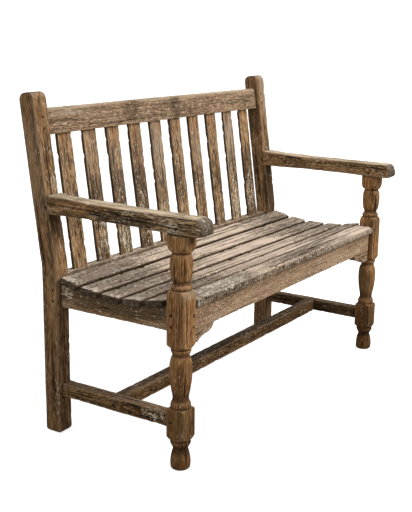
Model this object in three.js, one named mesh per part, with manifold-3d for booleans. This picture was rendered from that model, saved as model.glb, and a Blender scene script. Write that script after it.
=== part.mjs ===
// Deacon's bench: turned front legs, raked rear posts, slatted back, dished slatted seat,
// all in weathered hardwood with pegged mortise and tenon joints.
// Millimetres. +X runs along the bench, the sitter faces -Y and +Z is up.
// Inside the bench group, Y starts at the front face of the front legs.

import * as THREE from "three";
import { mergeVertices } from "three/addons/utils/BufferGeometryUtils.js";
import Module from "manifold-3d";

const wasm = await Module();
wasm.setup();

// Whole bench
const benchWidth = 1220;
const benchHeight = 957;
const floorDepth = 478;
const seatHeight = 456;

// Clearances, cutter overrun and the planed arris of straight pieces
const fit = 0.3;
const overrun = 5;
const ease = 2;

// Flats that a full turn of a leg and a curve of each outline are cut into
const legFlats = 20;
const edgeFlats = 4;
const bracketFlats = 5;
const postTopFlats = 5;
const armFlats = 8;

// Front legs: square stock, turned between three blocks
const legSize = 55;
const footTurningHeight = 92;
const lowBlockHeight = 74;
const vaseTurningHeight = 174;
const seatBlockHeight = 140;
const upperTurningHeight = 108;
const topBlockHeight = 44;
const legTenonSize = 24;
const legTenonHeight = 28;

// Rear posts: plumb up to the knee, then raked back
const postWidth = 52;
const postDepth = 52;
const kneeHeight = 485;
const rake = THREE.MathUtils.degToRad(8);
const postTopRadius = 20;
const postEase = 3;

// Top rail of the back, square to the rake
const topRailDrop = 45;
const topRailHeight = 73;
const topRailThickness = 34;
const topRailFrontRound = 10;
const topRailBackRound = 5;

// Lower rail of the back, plumb
const lowerRailRise = 4;
const lowerRailHeight = 80;
const lowerRailThickness = 34;
const lowerTenonSetBack = 14;
const backRailSetBack = 12;

// Slats of the back
const backSlatCount = 10;
const backSlatWidth = 58;
const backSlatThickness = 11;
const backSlatSetBack = 23;
const backSlatHousing = 18;

// Seat rails
const frontRailSetBack = 15;
const frontRailThickness = 32;
const frontRailHeight = 67;
const frontTenonSetBack = 4;
const frontTenonLength = 18;
const sideRailSetIn = 17;
const sideRailThickness = 30;
const sideRailBottom = 373;
const sideTenonSetIn = 4;
const bearerThickness = 30;
const bearerBottom = 393;
const bearerTenonLength = 14;
const bearerTenonHeight = 22;

// Slats of the seat: one between the front legs, the others across the dished rails
const dishedSlatCount = 5;
const slatGap = 12;
const slatThickness = 18;
const slatOverhang = 11;
const seatRearGap = 3;
const dishDepth = 20;
const dishRearRise = 6;
const frontSlatThickness = 20;
const frontSlatLap = 10;
const frontSlatGap = 5;
const frontSlatEndGap = 3;

// Arms
const armWidth = 61;
const armThickness = 46;
const armOverhang = 48;
const armRearRise = 8;
const armSag = 8;
const armUndercut = 3;
const armNoseTopRadius = 26;
const armNoseBottomRadius = 9;
const armEase = 6;
const armTenonThickness = 16;
const armTenonHeight = 28;
const armTenonLength = 24;

// Stretchers
const stretcherHeight = 39;
const stretcherBottom = 111;
const sideStretcherWidth = 36;
const sideStretcherSetIn = 12;
const middleStretcherWidth = 37;
const middleTenonLength = 18;

// Ogee brackets under the front rail
const bracketLength = 111;
const bracketHeight = 36;
const bracketThickness = 26;
const bracketSetBack = 2;

// Tenons
const tenonThickness = 12;
const tenonShoulder = 10;
const smallShoulder = 6;
const railTenonLength = 34;
const sideTenonLength = 20;

// Pegs: the rises are above the lower edge of the rail that they hold
const pegRadius = 4;
const pegSides = 10;
const pegSink = 0.5;
const pegRiseLow = 18;
const pegRiseHigh = 49;
const frontPegSetIn = 9;
const frontPegDepth = 36;
const sidePegSetIn = 13.5;
const sidePegDepth = 40;
const topPegSetIn = 23;
const armPegRise = 14;
const armPostPegRise = 20;
const armPostPegSetIn = 10;
const dowelDepth = 32;

// Turning outlines: share of the turning's height, then share of half the leg's size
const blockShare = 1.45;
const footShares = [
  [0, 0.8], [0.03, 0.94], [0.18, 0.99], [0.34, 0.955], [0.49, 0.856], [0.6, 0.72], [0.64, 0.73],
  [0.71, 0.87], [0.77, 0.99], [0.83, 1.02], [0.9, 1.04], [0.94, 1.07], [0.98, 1.22], [1, blockShare],
];
const vaseShares = [
  [0.022, 1.28], [0.037, 1.06], [0.054, 1], [0.102, 0.955], [0.138, 0.85], [0.182, 0.787],
  [0.241, 0.835], [0.309, 0.924], [0.439, 1.044], [0.567, 1.1], [0.695, 1.098], [0.791, 1.013],
  [0.828, 0.94], [0.861, 0.867], [0.888, 0.95], [0.931, 1.047], [0.964, 1.065], [0.985, 1.18],
  [1, blockShare],
];
const upperShares = [
  [0.04, 1.27], [0.083, 1.1], [0.13, 1.03], [0.171, 0.92], [0.212, 0.796], [0.284, 0.81],
  [0.37, 0.93], [0.47, 1.02], [0.617, 1.07], [0.813, 1.04], [0.922, 0.967], [0.958, 0.907],
  [0.98, 1.08], [1, blockShare],
];

// Ogee of a bracket: share of its length from the leg, then share of its height below the rail
const ogeeShares = {
  crown: [0.95, 0.5],
  turn: [0.7, 0.6],
  hollow: [0.42, 0.66],
  foot: [0.32, 1],
};

// Places that follow from the sizes
const halfWidth = benchWidth / 2;
const legHeight = [
  footTurningHeight,
  lowBlockHeight,
  vaseTurningHeight,
  seatBlockHeight,
  upperTurningHeight,
  topBlockHeight,
].reduce((sum, height) => sum + height, 0);
const legInner = halfWidth - legSize;
const legMiddle = halfWidth - legSize / 2;
const postInner = halfWidth - postWidth;
const postMiddle = halfWidth - postWidth / 2;
const postFront = floorDepth - postDepth;
const postCrown = benchHeight - kneeHeight - postTopRadius + postTopRadius * Math.sin(rake);
const rakedLength = postCrown / Math.cos(rake) + postTopRadius;
const topRailTop = rakedLength - topRailDrop;
const topRailBottom = topRailTop - topRailHeight;
const topRailBack = backRailSetBack + topRailThickness;
const lowerRailFront = postFront + backRailSetBack;
const lowerRailBack = lowerRailFront + lowerRailThickness;
const lowerRailTop = seatHeight + lowerRailRise;
const lowerRailBottom = lowerRailTop - lowerRailHeight;
const frontRailBack = frontRailSetBack + frontRailThickness;
const frontRailTop = seatHeight - frontSlatThickness - fit;
const frontRailBottom = frontRailTop - frontRailHeight;
const sideRailOuter = halfWidth - sideRailSetIn;
const sideRailInner = sideRailOuter - sideRailThickness;
const frontSlatDepth = legSize + frontSlatLap;
const dishFront = frontSlatDepth + frontSlatGap;
const dishRear = postFront - seatRearGap;
const dishMiddle = (dishFront + dishRear) / 2;
const dishHalf = (dishRear - dishFront) / 2;
const dishRadius = (dishHalf ** 2 + dishDepth ** 2) / (2 * dishDepth);
const slatWidth = (dishRear - dishFront - (dishedSlatCount - 1) * slatGap) / dishedSlatCount;
const stretcherOuter = halfWidth - sideStretcherSetIn;
const stretcherInner = stretcherOuter - sideStretcherWidth;
const stretcherTop = stretcherBottom + stretcherHeight;
const stretcherCentre = (stretcherBottom + stretcherTop) / 2;
const stretcherMiddle = (legSize + postFront) / 2;
const armBottom = legHeight + fit;
const postFrontAt = (height) => postFront + (height - kneeHeight) * Math.tan(rake);

// Weathered timber tones
const timber = (color, roughness) => ({ color, roughness, metalness: 0 });
const postTimber = timber("#7d6549", 0.92);
const legTimber = timber("#8b6b47", 0.88);
const armTimber = timber("#7c6a51", 0.94);
const topRailTimber = timber("#9a8268", 0.92);
const backSlatTimber = timber("#81694e", 0.92);
const seatSlatTimber = timber("#a48f76", 0.94);
const railTimber = timber("#8f7457", 0.92);
const stretcherTimber = timber("#6b573c", 0.93);
const bearerTimber = timber("#5c4a35", 0.92);
const pegTimber = timber("#4a3826", 0.9);

// Solids and meshes

// A closed solid from a geometry, without its shared corners or its flat triangles
function solidOf(geometry, matrix = new THREE.Matrix4()) {
  const bare = geometry.clone().applyMatrix4(matrix);
  bare.deleteAttribute("normal");
  bare.deleteAttribute("uv");
  const merged = mergeVertices(bare);
  const corners = merged.index.array;
  const triVerts = [];
  for (let i = 0; i < corners.length; i += 3) {
    const [a, b, c] = corners.slice(i, i + 3);
    if (a !== b && b !== c && c !== a) triVerts.push(a, b, c);
  }
  return new wasm.Manifold(new wasm.Mesh({
    numProp: 3,
    vertProperties: new Float32Array(merged.attributes.position.array),
    triVerts: new Uint32Array(triVerts),
  }));
}

function piece(name, solid, finish) {
  const { vertProperties, triVerts } = solid.getMesh();
  const geometry = new THREE.BufferGeometry();
  geometry.setAttribute("position", new THREE.BufferAttribute(vertProperties, 3));
  geometry.setIndex(new THREE.BufferAttribute(triVerts, 1));
  geometry.computeVertexNormals();
  const material = new THREE.MeshStandardMaterial({ ...finish, flatShading: true });
  const mesh = new THREE.Mesh(geometry, material);
  mesh.name = name;
  return mesh;
}

const joined = (solid, others) => others.reduce((whole, other) => whole.add(other), solid);
const cut = (solid, cutters) => cutters.reduce((whole, cutter) => whole.subtract(cutter), solid);

// A box between three pairs of limits, each pair in either order
const span = ([x0, x1], [y0, y1], [z0, z1]) => new THREE.Box3().setFromPoints([
  new THREE.Vector3(x0, y0, z0),
  new THREE.Vector3(x1, y1, z1),
]);

function brick(box, matrix) {
  const size = box.getSize(new THREE.Vector3());
  const centre = box.getCenter(new THREE.Vector3());
  const geometry = new THREE.BoxGeometry(size.x, size.y, size.z);
  geometry.translate(centre.x, centre.y, centre.z);
  return solidOf(geometry, matrix);
}

// The room that a box needs in its neighbour
const room = (box, matrix) => brick(box.clone().expandByScalar(fit), matrix);

// A pair of limits on one side of the bench, in rising order
const onSide = (side, inner, outer) => [side * inner, side * outer].sort((a, b) => a - b);

// A Y-Z section run along X, with its end edges planed off by the bevel
function alongX(shape, [x0, x1], curveSegments = edgeFlats, bevel = 0) {
  const geometry = new THREE.ExtrudeGeometry(shape, {
    depth: x1 - x0 - 2 * bevel,
    curveSegments,
    bevelEnabled: bevel > 0,
    bevelThickness: bevel,
    bevelSize: bevel,
    bevelOffset: -bevel,
    bevelSegments: 1,
  });
  const axes = new THREE.Matrix4().makeBasis(
    new THREE.Vector3(0, 1, 0),
    new THREE.Vector3(0, 0, 1),
    new THREE.Vector3(1, 0, 0),
  );
  return geometry.applyMatrix4(axes.setPosition(x0 + bevel, 0, 0));
}

// An X-Z section run along Y
function alongY(shape, [y0, y1], curveSegments = edgeFlats) {
  const geometry = new THREE.ExtrudeGeometry(shape, {
    depth: y1 - y0,
    curveSegments,
    bevelEnabled: false,
  });
  const axes = new THREE.Matrix4().makeBasis(
    new THREE.Vector3(1, 0, 0),
    new THREE.Vector3(0, 0, 1),
    new THREE.Vector3(0, -1, 0),
  );
  return geometry.applyMatrix4(axes.setPosition(0, y1, 0));
}

// An X-Y section run along Z
function alongZ(shape, [z0, z1]) {
  const geometry = new THREE.ExtrudeGeometry(shape, { depth: z1 - z0, bevelEnabled: false });
  return geometry.translate(0, 0, z0);
}

// A rectangle with its four corners planed off
function easedSection([u0, u1], [v0, v1]) {
  const shape = new THREE.Shape();
  shape.moveTo(u0 + ease, v0);
  shape.lineTo(u1 - ease, v0);
  shape.lineTo(u1, v0 + ease);
  shape.lineTo(u1, v1 - ease);
  shape.lineTo(u1 - ease, v1);
  shape.lineTo(u0 + ease, v1);
  shape.lineTo(u0, v1 - ease);
  shape.lineTo(u0, v0 + ease);
  return shape;
}

const sides = [-1, 1];
const ends = [-1, 1];
const sideName = (side) => (side < 0 ? "left" : "right");

// The raked frame of the back: Y square to the rake from the front of the posts, Z up the rake

const back = new THREE.Group();
back.position.set(0, postFront, kneeHeight);
back.rotation.x = -rake;
back.updateMatrix();

// The dish of the seat: the place of each slat's underside, front to rear

const dishedSlats = Array.from({ length: dishedSlatCount }, (_, index) => {
  const middle = dishFront + slatWidth / 2 + index * (slatWidth + slatGap);
  const dishLean = Math.asin((middle - dishMiddle) / dishRadius);
  const rearShare = (middle - dishFront) / (dishRear - dishFront);
  const rise = dishRearRise * rearShare ** 2;
  const drop = dishDepth - dishRadius * (1 - Math.cos(dishLean)) - rise;
  const lean = dishLean + Math.atan(2 * rise / (middle - dishFront));
  const frame = new THREE.Group();
  frame.position.set(0, middle, seatHeight - slatThickness - drop);
  frame.rotation.x = lean;
  frame.updateMatrix();
  return frame;
});

// The top line of a dished rail between two faces: level under the front slat, then just
// under each of the others
function dishedLine(front, rear) {
  const corners = dishedSlats.flatMap((frame) => [-1, 1].map((edge) => {
    const corner = new THREE.Vector3(0, edge * slatWidth / 2, -fit).applyMatrix4(frame.matrix);
    return new THREE.Vector2(corner.y, corner.z);
  }));
  const line = corners.filter(({ x }) => x > front && x < rear);
  line.unshift(
    new THREE.Vector2(front, frontRailTop),
    new THREE.Vector2(frontSlatDepth + fit, frontRailTop),
  );
  line.push(new THREE.Vector2(rear, line[line.length - 1].y));
  return line;
}

function dishedRail(bottom, front, rear, limits) {
  const outline = [
    new THREE.Vector2(rear, bottom),
    new THREE.Vector2(front, bottom),
    ...dishedLine(front, rear),
  ];
  return solidOf(alongX(new THREE.Shape(outline), limits));
}

// Tenons, each as the box that it fills, rooted in its own piece

const sideRailLine = dishedLine(legSize + fit, postFront - fit);
const sideTenonTop = Math.min(sideRailLine[0].y, sideRailLine[sideRailLine.length - 1].y);

// The face that a side rail or stretcher meets at its front or rear end
const shoulderAt = (end) => (end < 0 ? legSize : postFront);

const sideRailTenon = (side, end) => span(
  onSide(side, sideRailOuter - sideTenonSetIn - tenonThickness, sideRailOuter - sideTenonSetIn),
  [shoulderAt(end) - end * overrun, shoulderAt(end) + end * sideTenonLength],
  [sideRailBottom + tenonShoulder, sideTenonTop - smallShoulder],
);

const stretcherTenonLimits = [stretcherBottom + smallShoulder, stretcherTop - smallShoulder];

function sideStretcherTenon(side, end) {
  const middle = (stretcherInner + stretcherOuter) / 2;
  return span(
    onSide(side, middle - tenonThickness / 2, middle + tenonThickness / 2),
    [shoulderAt(end) - end * overrun, shoulderAt(end) + end * sideTenonLength],
    stretcherTenonLimits,
  );
}

const middleStretcherTenon = (side) => span(
  onSide(side, stretcherInner - overrun, stretcherInner + middleTenonLength),
  [stretcherMiddle - tenonThickness / 2, stretcherMiddle + tenonThickness / 2],
  stretcherTenonLimits,
);

const frontTenonFront = frontRailSetBack + frontTenonSetBack;
const frontRailTenon = (side) => span(
  onSide(side, legInner - overrun, legInner + frontTenonLength),
  [frontTenonFront, frontTenonFront + tenonThickness],
  [frontRailBottom + tenonShoulder, frontRailTop - tenonShoulder],
);

const lowerTenonFront = lowerRailFront + lowerTenonSetBack;
const lowerRailTenon = (side) => span(
  onSide(side, postInner - overrun, postInner + railTenonLength),
  [lowerTenonFront, lowerTenonFront + tenonThickness],
  [lowerRailBottom + tenonShoulder, lowerRailTop - tenonShoulder],
);

const topRailMiddle = backRailSetBack + topRailThickness / 2;
const topRailTenon = (side) => span(
  onSide(side, postInner - overrun, postInner + railTenonLength),
  [topRailMiddle - tenonThickness / 2, topRailMiddle + tenonThickness / 2],
  [topRailBottom + tenonShoulder, topRailTop - tenonShoulder],
);

const bearerTenonBottom = bearerBottom + tenonShoulder;
const bearerTenon = (face, end) => span(
  [-tenonThickness / 2, tenonThickness / 2],
  [face - end * overrun, face + end * bearerTenonLength],
  [bearerTenonBottom, bearerTenonBottom + bearerTenonHeight],
);

const armTenonBottom = armBottom + (armThickness - armTenonHeight) / 2;
const armTenon = (side) => span(
  onSide(side, postMiddle - armTenonThickness / 2, postMiddle + armTenonThickness / 2),
  [postFrontAt(armBottom) - 2 * overrun, postFrontAt(armBottom) + armTenonLength],
  [armTenonBottom, armTenonBottom + armTenonHeight],
);

const legTenon = (side) => span(
  onSide(side, legMiddle - legTenonSize / 2, legMiddle + legTenonSize / 2),
  [(legSize - legTenonSize) / 2, (legSize + legTenonSize) / 2],
  [legHeight - overrun, legHeight + legTenonHeight],
);

// Pegs: a face, the direction out of it, and how deep the peg and its hole go

const spot = (x, y, z) => new THREE.Vector3(x, y, z);
const outOfX = (side) => spot(side, 0, 0);
const outOfY = (side) => spot(0, side, 0);

const blindPeg = (face, direction, depth) => ({ face, direction, depth, hole: depth + fit });

const throughPeg = (face, direction, thickness) => ({
  face,
  direction,
  depth: thickness - pegSink,
  hole: thickness + overrun,
});

// A round rod along a peg's line, between two distances outside its face
function rod({ face, direction }, outer, inner, radius, matrix) {
  const geometry = new THREE.CylinderGeometry(radius, radius, outer - inner, pegSides);
  geometry.applyQuaternion(new THREE.Quaternion().setFromUnitVectors(spot(0, 1, 0), direction));
  const middle = face.clone().addScaledVector(direction, (outer + inner) / 2);
  geometry.translate(middle.x, middle.y, middle.z);
  return solidOf(geometry, matrix);
}

const pegHole = (peg, matrix) => rod(peg, overrun, -peg.hole, pegRadius + fit, matrix);

// Each peg of a set as its own piece, numbered from the first
const pegPieces = (name, pegs) => pegs.map((peg, index) =>
  piece(`${name}_${index + 1}`, rod(peg, -pegSink, -peg.depth, pegRadius), pegTimber));

const sidePegLine = (end) => shoulderAt(end) + end * sidePegSetIn;

const sideRailPegs = (side, end) => [pegRiseLow, pegRiseHigh].map((rise) => blindPeg(
  spot(side * halfWidth, sidePegLine(end), sideRailBottom + rise),
  outOfX(side),
  sidePegDepth,
));

const sideStretcherPeg = (side, end) => blindPeg(
  spot(side * halfWidth, sidePegLine(end), stretcherCentre),
  outOfX(side),
  sidePegDepth,
);

const middleStretcherDowel = (side) => blindPeg(
  spot(side * stretcherOuter, stretcherMiddle, stretcherCentre),
  outOfX(side),
  dowelDepth,
);

const frontRailPegs = (side) => [pegRiseLow, pegRiseHigh].map((rise) => blindPeg(
  spot(side * (legInner + frontPegSetIn), 0, frontRailBottom + rise),
  outOfY(-1),
  frontPegDepth,
));

const topRailPegs = (side) => [pegRiseLow, pegRiseHigh].map((rise) => throughPeg(
  spot(side * (postInner + topPegSetIn), 0, topRailBottom + rise),
  outOfY(-1),
  postDepth,
));

const armPostPeg = (side) => throughPeg(
  spot(side * halfWidth, postFrontAt(legHeight) + armPostPegSetIn, legHeight + armPostPegRise),
  outOfX(side),
  postWidth,
);

const armLegPeg = (side) => throughPeg(
  spot(side * halfWidth, legSize / 2, legHeight + armPegRise),
  outOfX(side),
  armWidth,
);

// Legs, posts and arms

function frontLeg(side) {
  const half = legSize / 2;
  const turnings = [
    [0, footTurningHeight, footShares],
    [footTurningHeight + lowBlockHeight, vaseTurningHeight, vaseShares],
    [legHeight - topBlockHeight - upperTurningHeight, upperTurningHeight, upperShares],
  ];
  const profile = [new THREE.Vector2(0, 0)];
  for (const [base, height, shares] of turnings) {
    if (base > 0) profile.push(new THREE.Vector2(blockShare * half, base));
    for (const [rise, radius] of shares) {
      profile.push(new THREE.Vector2(radius * half, base + rise * height));
    }
  }
  profile.push(new THREE.Vector2(blockShare * half, legHeight));
  profile.push(new THREE.Vector2(0, legHeight));
  const turned = new THREE.LatheGeometry(profile, legFlats);
  turned.rotateX(Math.PI / 2);
  turned.translate(side * legMiddle, half, 0);
  const stock = brick(span(onSide(side, legInner, halfWidth), [0, legSize], [0, legHeight]));
  const leg = solidOf(turned).intersect(stock).add(brick(legTenon(side)));
  const cutters = [
    room(frontRailTenon(side)),
    room(sideRailTenon(side, -1)),
    room(sideStretcherTenon(side, -1)),
    ...frontRailPegs(side).map((peg) => pegHole(peg)),
    ...sideRailPegs(side, -1).map((peg) => pegHole(peg)),
    pegHole(sideStretcherPeg(side, -1)),
    pegHole(armLegPeg(side)),
  ];
  return piece(`front_leg_${sideName(side)}`, cut(leg, cutters), legTimber);
}

// Outline of a post seen from its side: plumb below the knee, raked above, round on top
function postShape() {
  const shoulder = rakedLength - postTopRadius;
  const place = (across, along) => [
    postFront + across * Math.cos(rake) + along * Math.sin(rake),
    kneeHeight - across * Math.sin(rake) + along * Math.cos(rake),
  ];
  const top = Math.PI / 2 - rake;
  const shape = new THREE.Shape();
  shape.moveTo(postFront, 0);
  shape.lineTo(floorDepth, 0);
  shape.lineTo(floorDepth, kneeHeight - postDepth * Math.tan(rake / 2));
  shape.absarc(...place(postDepth - postTopRadius, shoulder), postTopRadius, -rake, top);
  shape.absarc(...place(postTopRadius, shoulder), postTopRadius, top, Math.PI - rake);
  shape.lineTo(postFront, kneeHeight);
  return shape;
}

function rearPost(side) {
  const post = solidOf(alongX(postShape(), onSide(side, postInner, halfWidth), postTopFlats, postEase));
  const cutters = [
    room(topRailTenon(side), back.matrix),
    room(lowerRailTenon(side)),
    room(sideRailTenon(side, 1)),
    room(sideStretcherTenon(side, 1)),
    room(armTenon(side)),
    ...topRailPegs(side).map((peg) => pegHole(peg, back.matrix)),
    ...sideRailPegs(side, 1).map((peg) => pegHole(peg)),
    pegHole(sideStretcherPeg(side, 1)),
    pegHole(armPostPeg(side)),
  ];
  return piece(`rear_post_${sideName(side)}`, cut(post, cutters), postTimber);
}

// Outline of an arm seen from its side: round nose, sagging top, hollowed underside
function armShape() {
  const top = armBottom + armThickness;
  const rearTop = top + armRearRise;
  const rearBottom = [postFrontAt(armBottom) - fit, armBottom];
  const noseTop = [armNoseTopRadius - armOverhang, top - armNoseTopRadius];
  const noseBottom = [armNoseBottomRadius - armOverhang, armBottom + armNoseBottomRadius];
  const rearTopY = postFrontAt(rearTop) - fit;
  const shape = new THREE.Shape();
  shape.moveTo(legSize, armBottom);
  shape.quadraticCurveTo((legSize + rearBottom[0]) / 2, armBottom + 2 * armUndercut, ...rearBottom);
  shape.lineTo(rearTopY, rearTop);
  shape.quadraticCurveTo(
    (noseTop[0] + rearTopY) / 2,
    (top + rearTop) / 2 - 2 * armSag,
    noseTop[0],
    top,
  );
  shape.absarc(...noseTop, armNoseTopRadius, Math.PI / 2, Math.PI);
  shape.absarc(...noseBottom, armNoseBottomRadius, Math.PI, 1.5 * Math.PI);
  return shape;
}

function arm(side) {
  const limits = onSide(side, halfWidth - armWidth, halfWidth);
  const body = solidOf(alongX(armShape(), limits, armFlats, armEase));
  const cutters = [room(legTenon(side)), pegHole(armLegPeg(side)), pegHole(armPostPeg(side))];
  const solid = cut(joined(body, [brick(armTenon(side))]), cutters);
  return piece(`arm_${sideName(side)}`, solid, armTimber);
}

// Seat rails and brackets

function frontRail() {
  const section = easedSection([frontRailSetBack, frontRailBack], [frontRailBottom, frontRailTop]);
  const body = solidOf(alongX(section, [fit - legInner, legInner - fit]));
  const cutters = [
    ...sides.flatMap((side) => frontRailPegs(side).map((peg) => pegHole(peg))),
    room(bearerTenon(frontRailBack, -1)),
  ];
  const solid = cut(joined(body, sides.map((side) => brick(frontRailTenon(side)))), cutters);
  return piece("front_rail", solid, railTimber);
}

function sideRail(side) {
  const limits = onSide(side, sideRailInner, sideRailOuter);
  const body = dishedRail(sideRailBottom, legSize + fit, postFront - fit, limits);
  const holes = ends.flatMap((end) => sideRailPegs(side, end).map((peg) => pegHole(peg)));
  const solid = cut(joined(body, ends.map((end) => brick(sideRailTenon(side, end)))), holes);
  return piece(`side_rail_${sideName(side)}`, solid, railTimber);
}

function seatBearer() {
  const limits = [-bearerThickness / 2, bearerThickness / 2];
  const body = dishedRail(bearerBottom, frontRailBack + fit, lowerRailFront - fit, limits);
  const tenons = [bearerTenon(frontRailBack, -1), bearerTenon(lowerRailFront, 1)];
  return piece("seat_bearer", joined(body, tenons.map((tenon) => brick(tenon))), bearerTimber);
}

function bracket(side) {
  const place = ([along, down]) => [
    side * (legInner - fit - along * bracketLength),
    frontRailBottom - fit - down * bracketHeight,
  ];
  const shape = new THREE.Shape();
  shape.moveTo(...place([0, 0]));
  shape.lineTo(...place([1, 0]));
  shape.quadraticCurveTo(...place(ogeeShares.crown), ...place(ogeeShares.turn));
  shape.quadraticCurveTo(...place(ogeeShares.hollow), ...place(ogeeShares.foot));
  shape.lineTo(...place([0, 1]));
  const front = frontRailSetBack + bracketSetBack;
  const body = solidOf(alongY(shape, [front, front + bracketThickness], bracketFlats));
  return piece(`bracket_${sideName(side)}`, body, railTimber);
}

// Stretchers

function sideStretcher(side) {
  const limits = onSide(side, stretcherInner, stretcherOuter);
  const section = easedSection(limits, [stretcherBottom, stretcherTop]);
  const body = solidOf(alongY(section, [legSize + fit, postFront - fit]));
  const tenons = ends.map((end) => brick(sideStretcherTenon(side, end)));
  const cutters = [
    room(middleStretcherTenon(side)),
    pegHole(middleStretcherDowel(side)),
    ...ends.map((end) => pegHole(sideStretcherPeg(side, end))),
  ];
  const solid = cut(joined(body, tenons), cutters);
  return piece(`side_stretcher_${sideName(side)}`, solid, stretcherTimber);
}

function middleStretcher() {
  const half = middleStretcherWidth / 2;
  const limits = [stretcherMiddle - half, stretcherMiddle + half];
  const section = easedSection(limits, [stretcherBottom, stretcherTop]);
  const body = solidOf(alongX(section, [fit - stretcherInner, stretcherInner - fit]));
  const tenons = sides.map((side) => brick(middleStretcherTenon(side)));
  const holes = sides.map((side) => pegHole(middleStretcherDowel(side)));
  return piece("middle_stretcher", cut(joined(body, tenons), holes), stretcherTimber);
}

// Back, in its raked frame but for the plumb lower rail

const backSlatGap = (2 * postInner - backSlatCount * backSlatWidth) / (backSlatCount + 1);
const backSlatMiddle = backSlatSetBack + backSlatThickness / 2;
const lowerHousingFloor = lowerRailTop - backSlatHousing - kneeHeight;
const backSlatFoot = (lowerHousingFloor + backSlatMiddle * Math.sin(rake)) / Math.cos(rake);

const backSlatBoxes = Array.from({ length: backSlatCount }, (_, index) => {
  const left = -postInner + backSlatGap + index * (backSlatWidth + backSlatGap);
  return span(
    [left, left + backSlatWidth],
    [backSlatSetBack, backSlatSetBack + backSlatThickness],
    [backSlatFoot, topRailBottom + backSlatHousing],
  );
});

function backSlat(box, index) {
  const section = easedSection([box.min.x, box.max.x], [box.min.y, box.max.y]);
  const name = `back_slat_${String(index + 1).padStart(2, "0")}`;
  return piece(name, solidOf(alongZ(section, [box.min.z, box.max.z])), backSlatTimber);
}

// Section of the top rail: round at both upper edges, more so at the front
function topRailShape() {
  const shape = new THREE.Shape();
  const backRound = [topRailBack - topRailBackRound, topRailTop - topRailBackRound];
  const frontRound = [backRailSetBack + topRailFrontRound, topRailTop - topRailFrontRound];
  shape.moveTo(backRailSetBack + ease, topRailBottom);
  shape.lineTo(topRailBack - ease, topRailBottom);
  shape.lineTo(topRailBack, topRailBottom + ease);
  shape.absarc(...backRound, topRailBackRound, 0, Math.PI / 2);
  shape.absarc(...frontRound, topRailFrontRound, Math.PI / 2, Math.PI);
  shape.lineTo(backRailSetBack, topRailBottom + ease);
  return shape;
}

function topRail() {
  const body = solidOf(alongX(topRailShape(), [fit - postInner, postInner - fit]));
  const cutters = [
    ...backSlatBoxes.map((box) => room(box)),
    ...sides.flatMap((side) => topRailPegs(side).map((peg) => pegHole(peg))),
  ];
  const solid = cut(joined(body, sides.map((side) => brick(topRailTenon(side)))), cutters);
  return piece("top_rail", solid, topRailTimber);
}

function lowerBackRail() {
  const section = easedSection([lowerRailFront, lowerRailBack], [lowerRailBottom, lowerRailTop]);
  const body = solidOf(alongX(section, [fit - postInner, postInner - fit]));
  const cutters = [
    ...backSlatBoxes.map((box) => room(box, back.matrix)),
    room(bearerTenon(lowerRailFront, 1)),
  ];
  const solid = cut(joined(body, sides.map((side) => brick(lowerRailTenon(side)))), cutters);
  return piece("lower_back_rail", solid, railTimber);
}

// Seat slats, numbered from the front

function frontSeatSlat() {
  const end = legInner - frontSlatEndGap;
  const section = easedSection([0, frontSlatDepth], [seatHeight - frontSlatThickness, seatHeight]);
  return piece("seat_slat_1", solidOf(alongX(section, [-end, end])), seatSlatTimber);
}

function dishedSeatSlat(frame, index) {
  const end = sideRailOuter + slatOverhang;
  const section = easedSection([-slatWidth / 2, slatWidth / 2], [0, slatThickness]);
  const body = solidOf(alongX(section, [-end, end]));
  frame.add(piece(`seat_slat_${index + 2}`, body, seatSlatTimber));
  return frame;
}

// The whole bench, on the floor and centred over its own depth

const sidePegPieces = (side) => [
  ...pegPieces(`side_rail_peg_${sideName(side)}`, ends.flatMap((end) => sideRailPegs(side, end))),
  ...pegPieces(`stretcher_peg_${sideName(side)}`, ends.map((end) => sideStretcherPeg(side, end))),
  ...pegPieces(`front_rail_peg_${sideName(side)}`, frontRailPegs(side)),
  ...pegPieces(`arm_post_peg_${sideName(side)}`, [armPostPeg(side)]),
  ...pegPieces(`arm_leg_peg_${sideName(side)}`, [armLegPeg(side)]),
  ...pegPieces(`stretcher_dowel_${sideName(side)}`, [middleStretcherDowel(side)]),
];

back.add(
  topRail(),
  ...backSlatBoxes.map((box, index) => backSlat(box, index)),
  ...sides.flatMap((side) => pegPieces(`top_rail_peg_${sideName(side)}`, topRailPegs(side))),
);

const bench = new THREE.Group();
bench.add(
  ...sides.map((side) => rearPost(side)),
  ...sides.map((side) => frontLeg(side)),
  ...sides.map((side) => arm(side)),
  back,
  lowerBackRail(),
  frontRail(),
  ...sides.map((side) => sideRail(side)),
  seatBearer(),
  ...sides.map((side) => bracket(side)),
  ...sides.map((side) => sideStretcher(side)),
  middleStretcher(),
  frontSeatSlat(),
  ...dishedSlats.map((frame, index) => dishedSeatSlat(frame, index)),
  ...sides.flatMap((side) => sidePegPieces(side)),
);

const extent = new THREE.Box3().setFromObject(bench);
bench.position.y = -(extent.min.y + extent.max.y) / 2;

const assembly = new THREE.Group();
assembly.add(bench);

export default assembly;
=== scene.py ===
"""A weathered two-seat deacon's bench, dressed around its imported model.

Each visible piece is a length of timber lofted along its grain. The loft rounds and
wears the edges, raises the grain, opens drying cracks and frays the ends, and it stores
masks on the mesh that the finishes read. Metres: +X runs along the bench, the sitter
faces -Y and +Z is up.
"""

import logging
import math
from collections.abc import Iterable
from dataclasses import dataclass, field
from enum import Enum

import bmesh
import bpy
import numpy as np
from mathutils import Matrix, Vector


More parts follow.
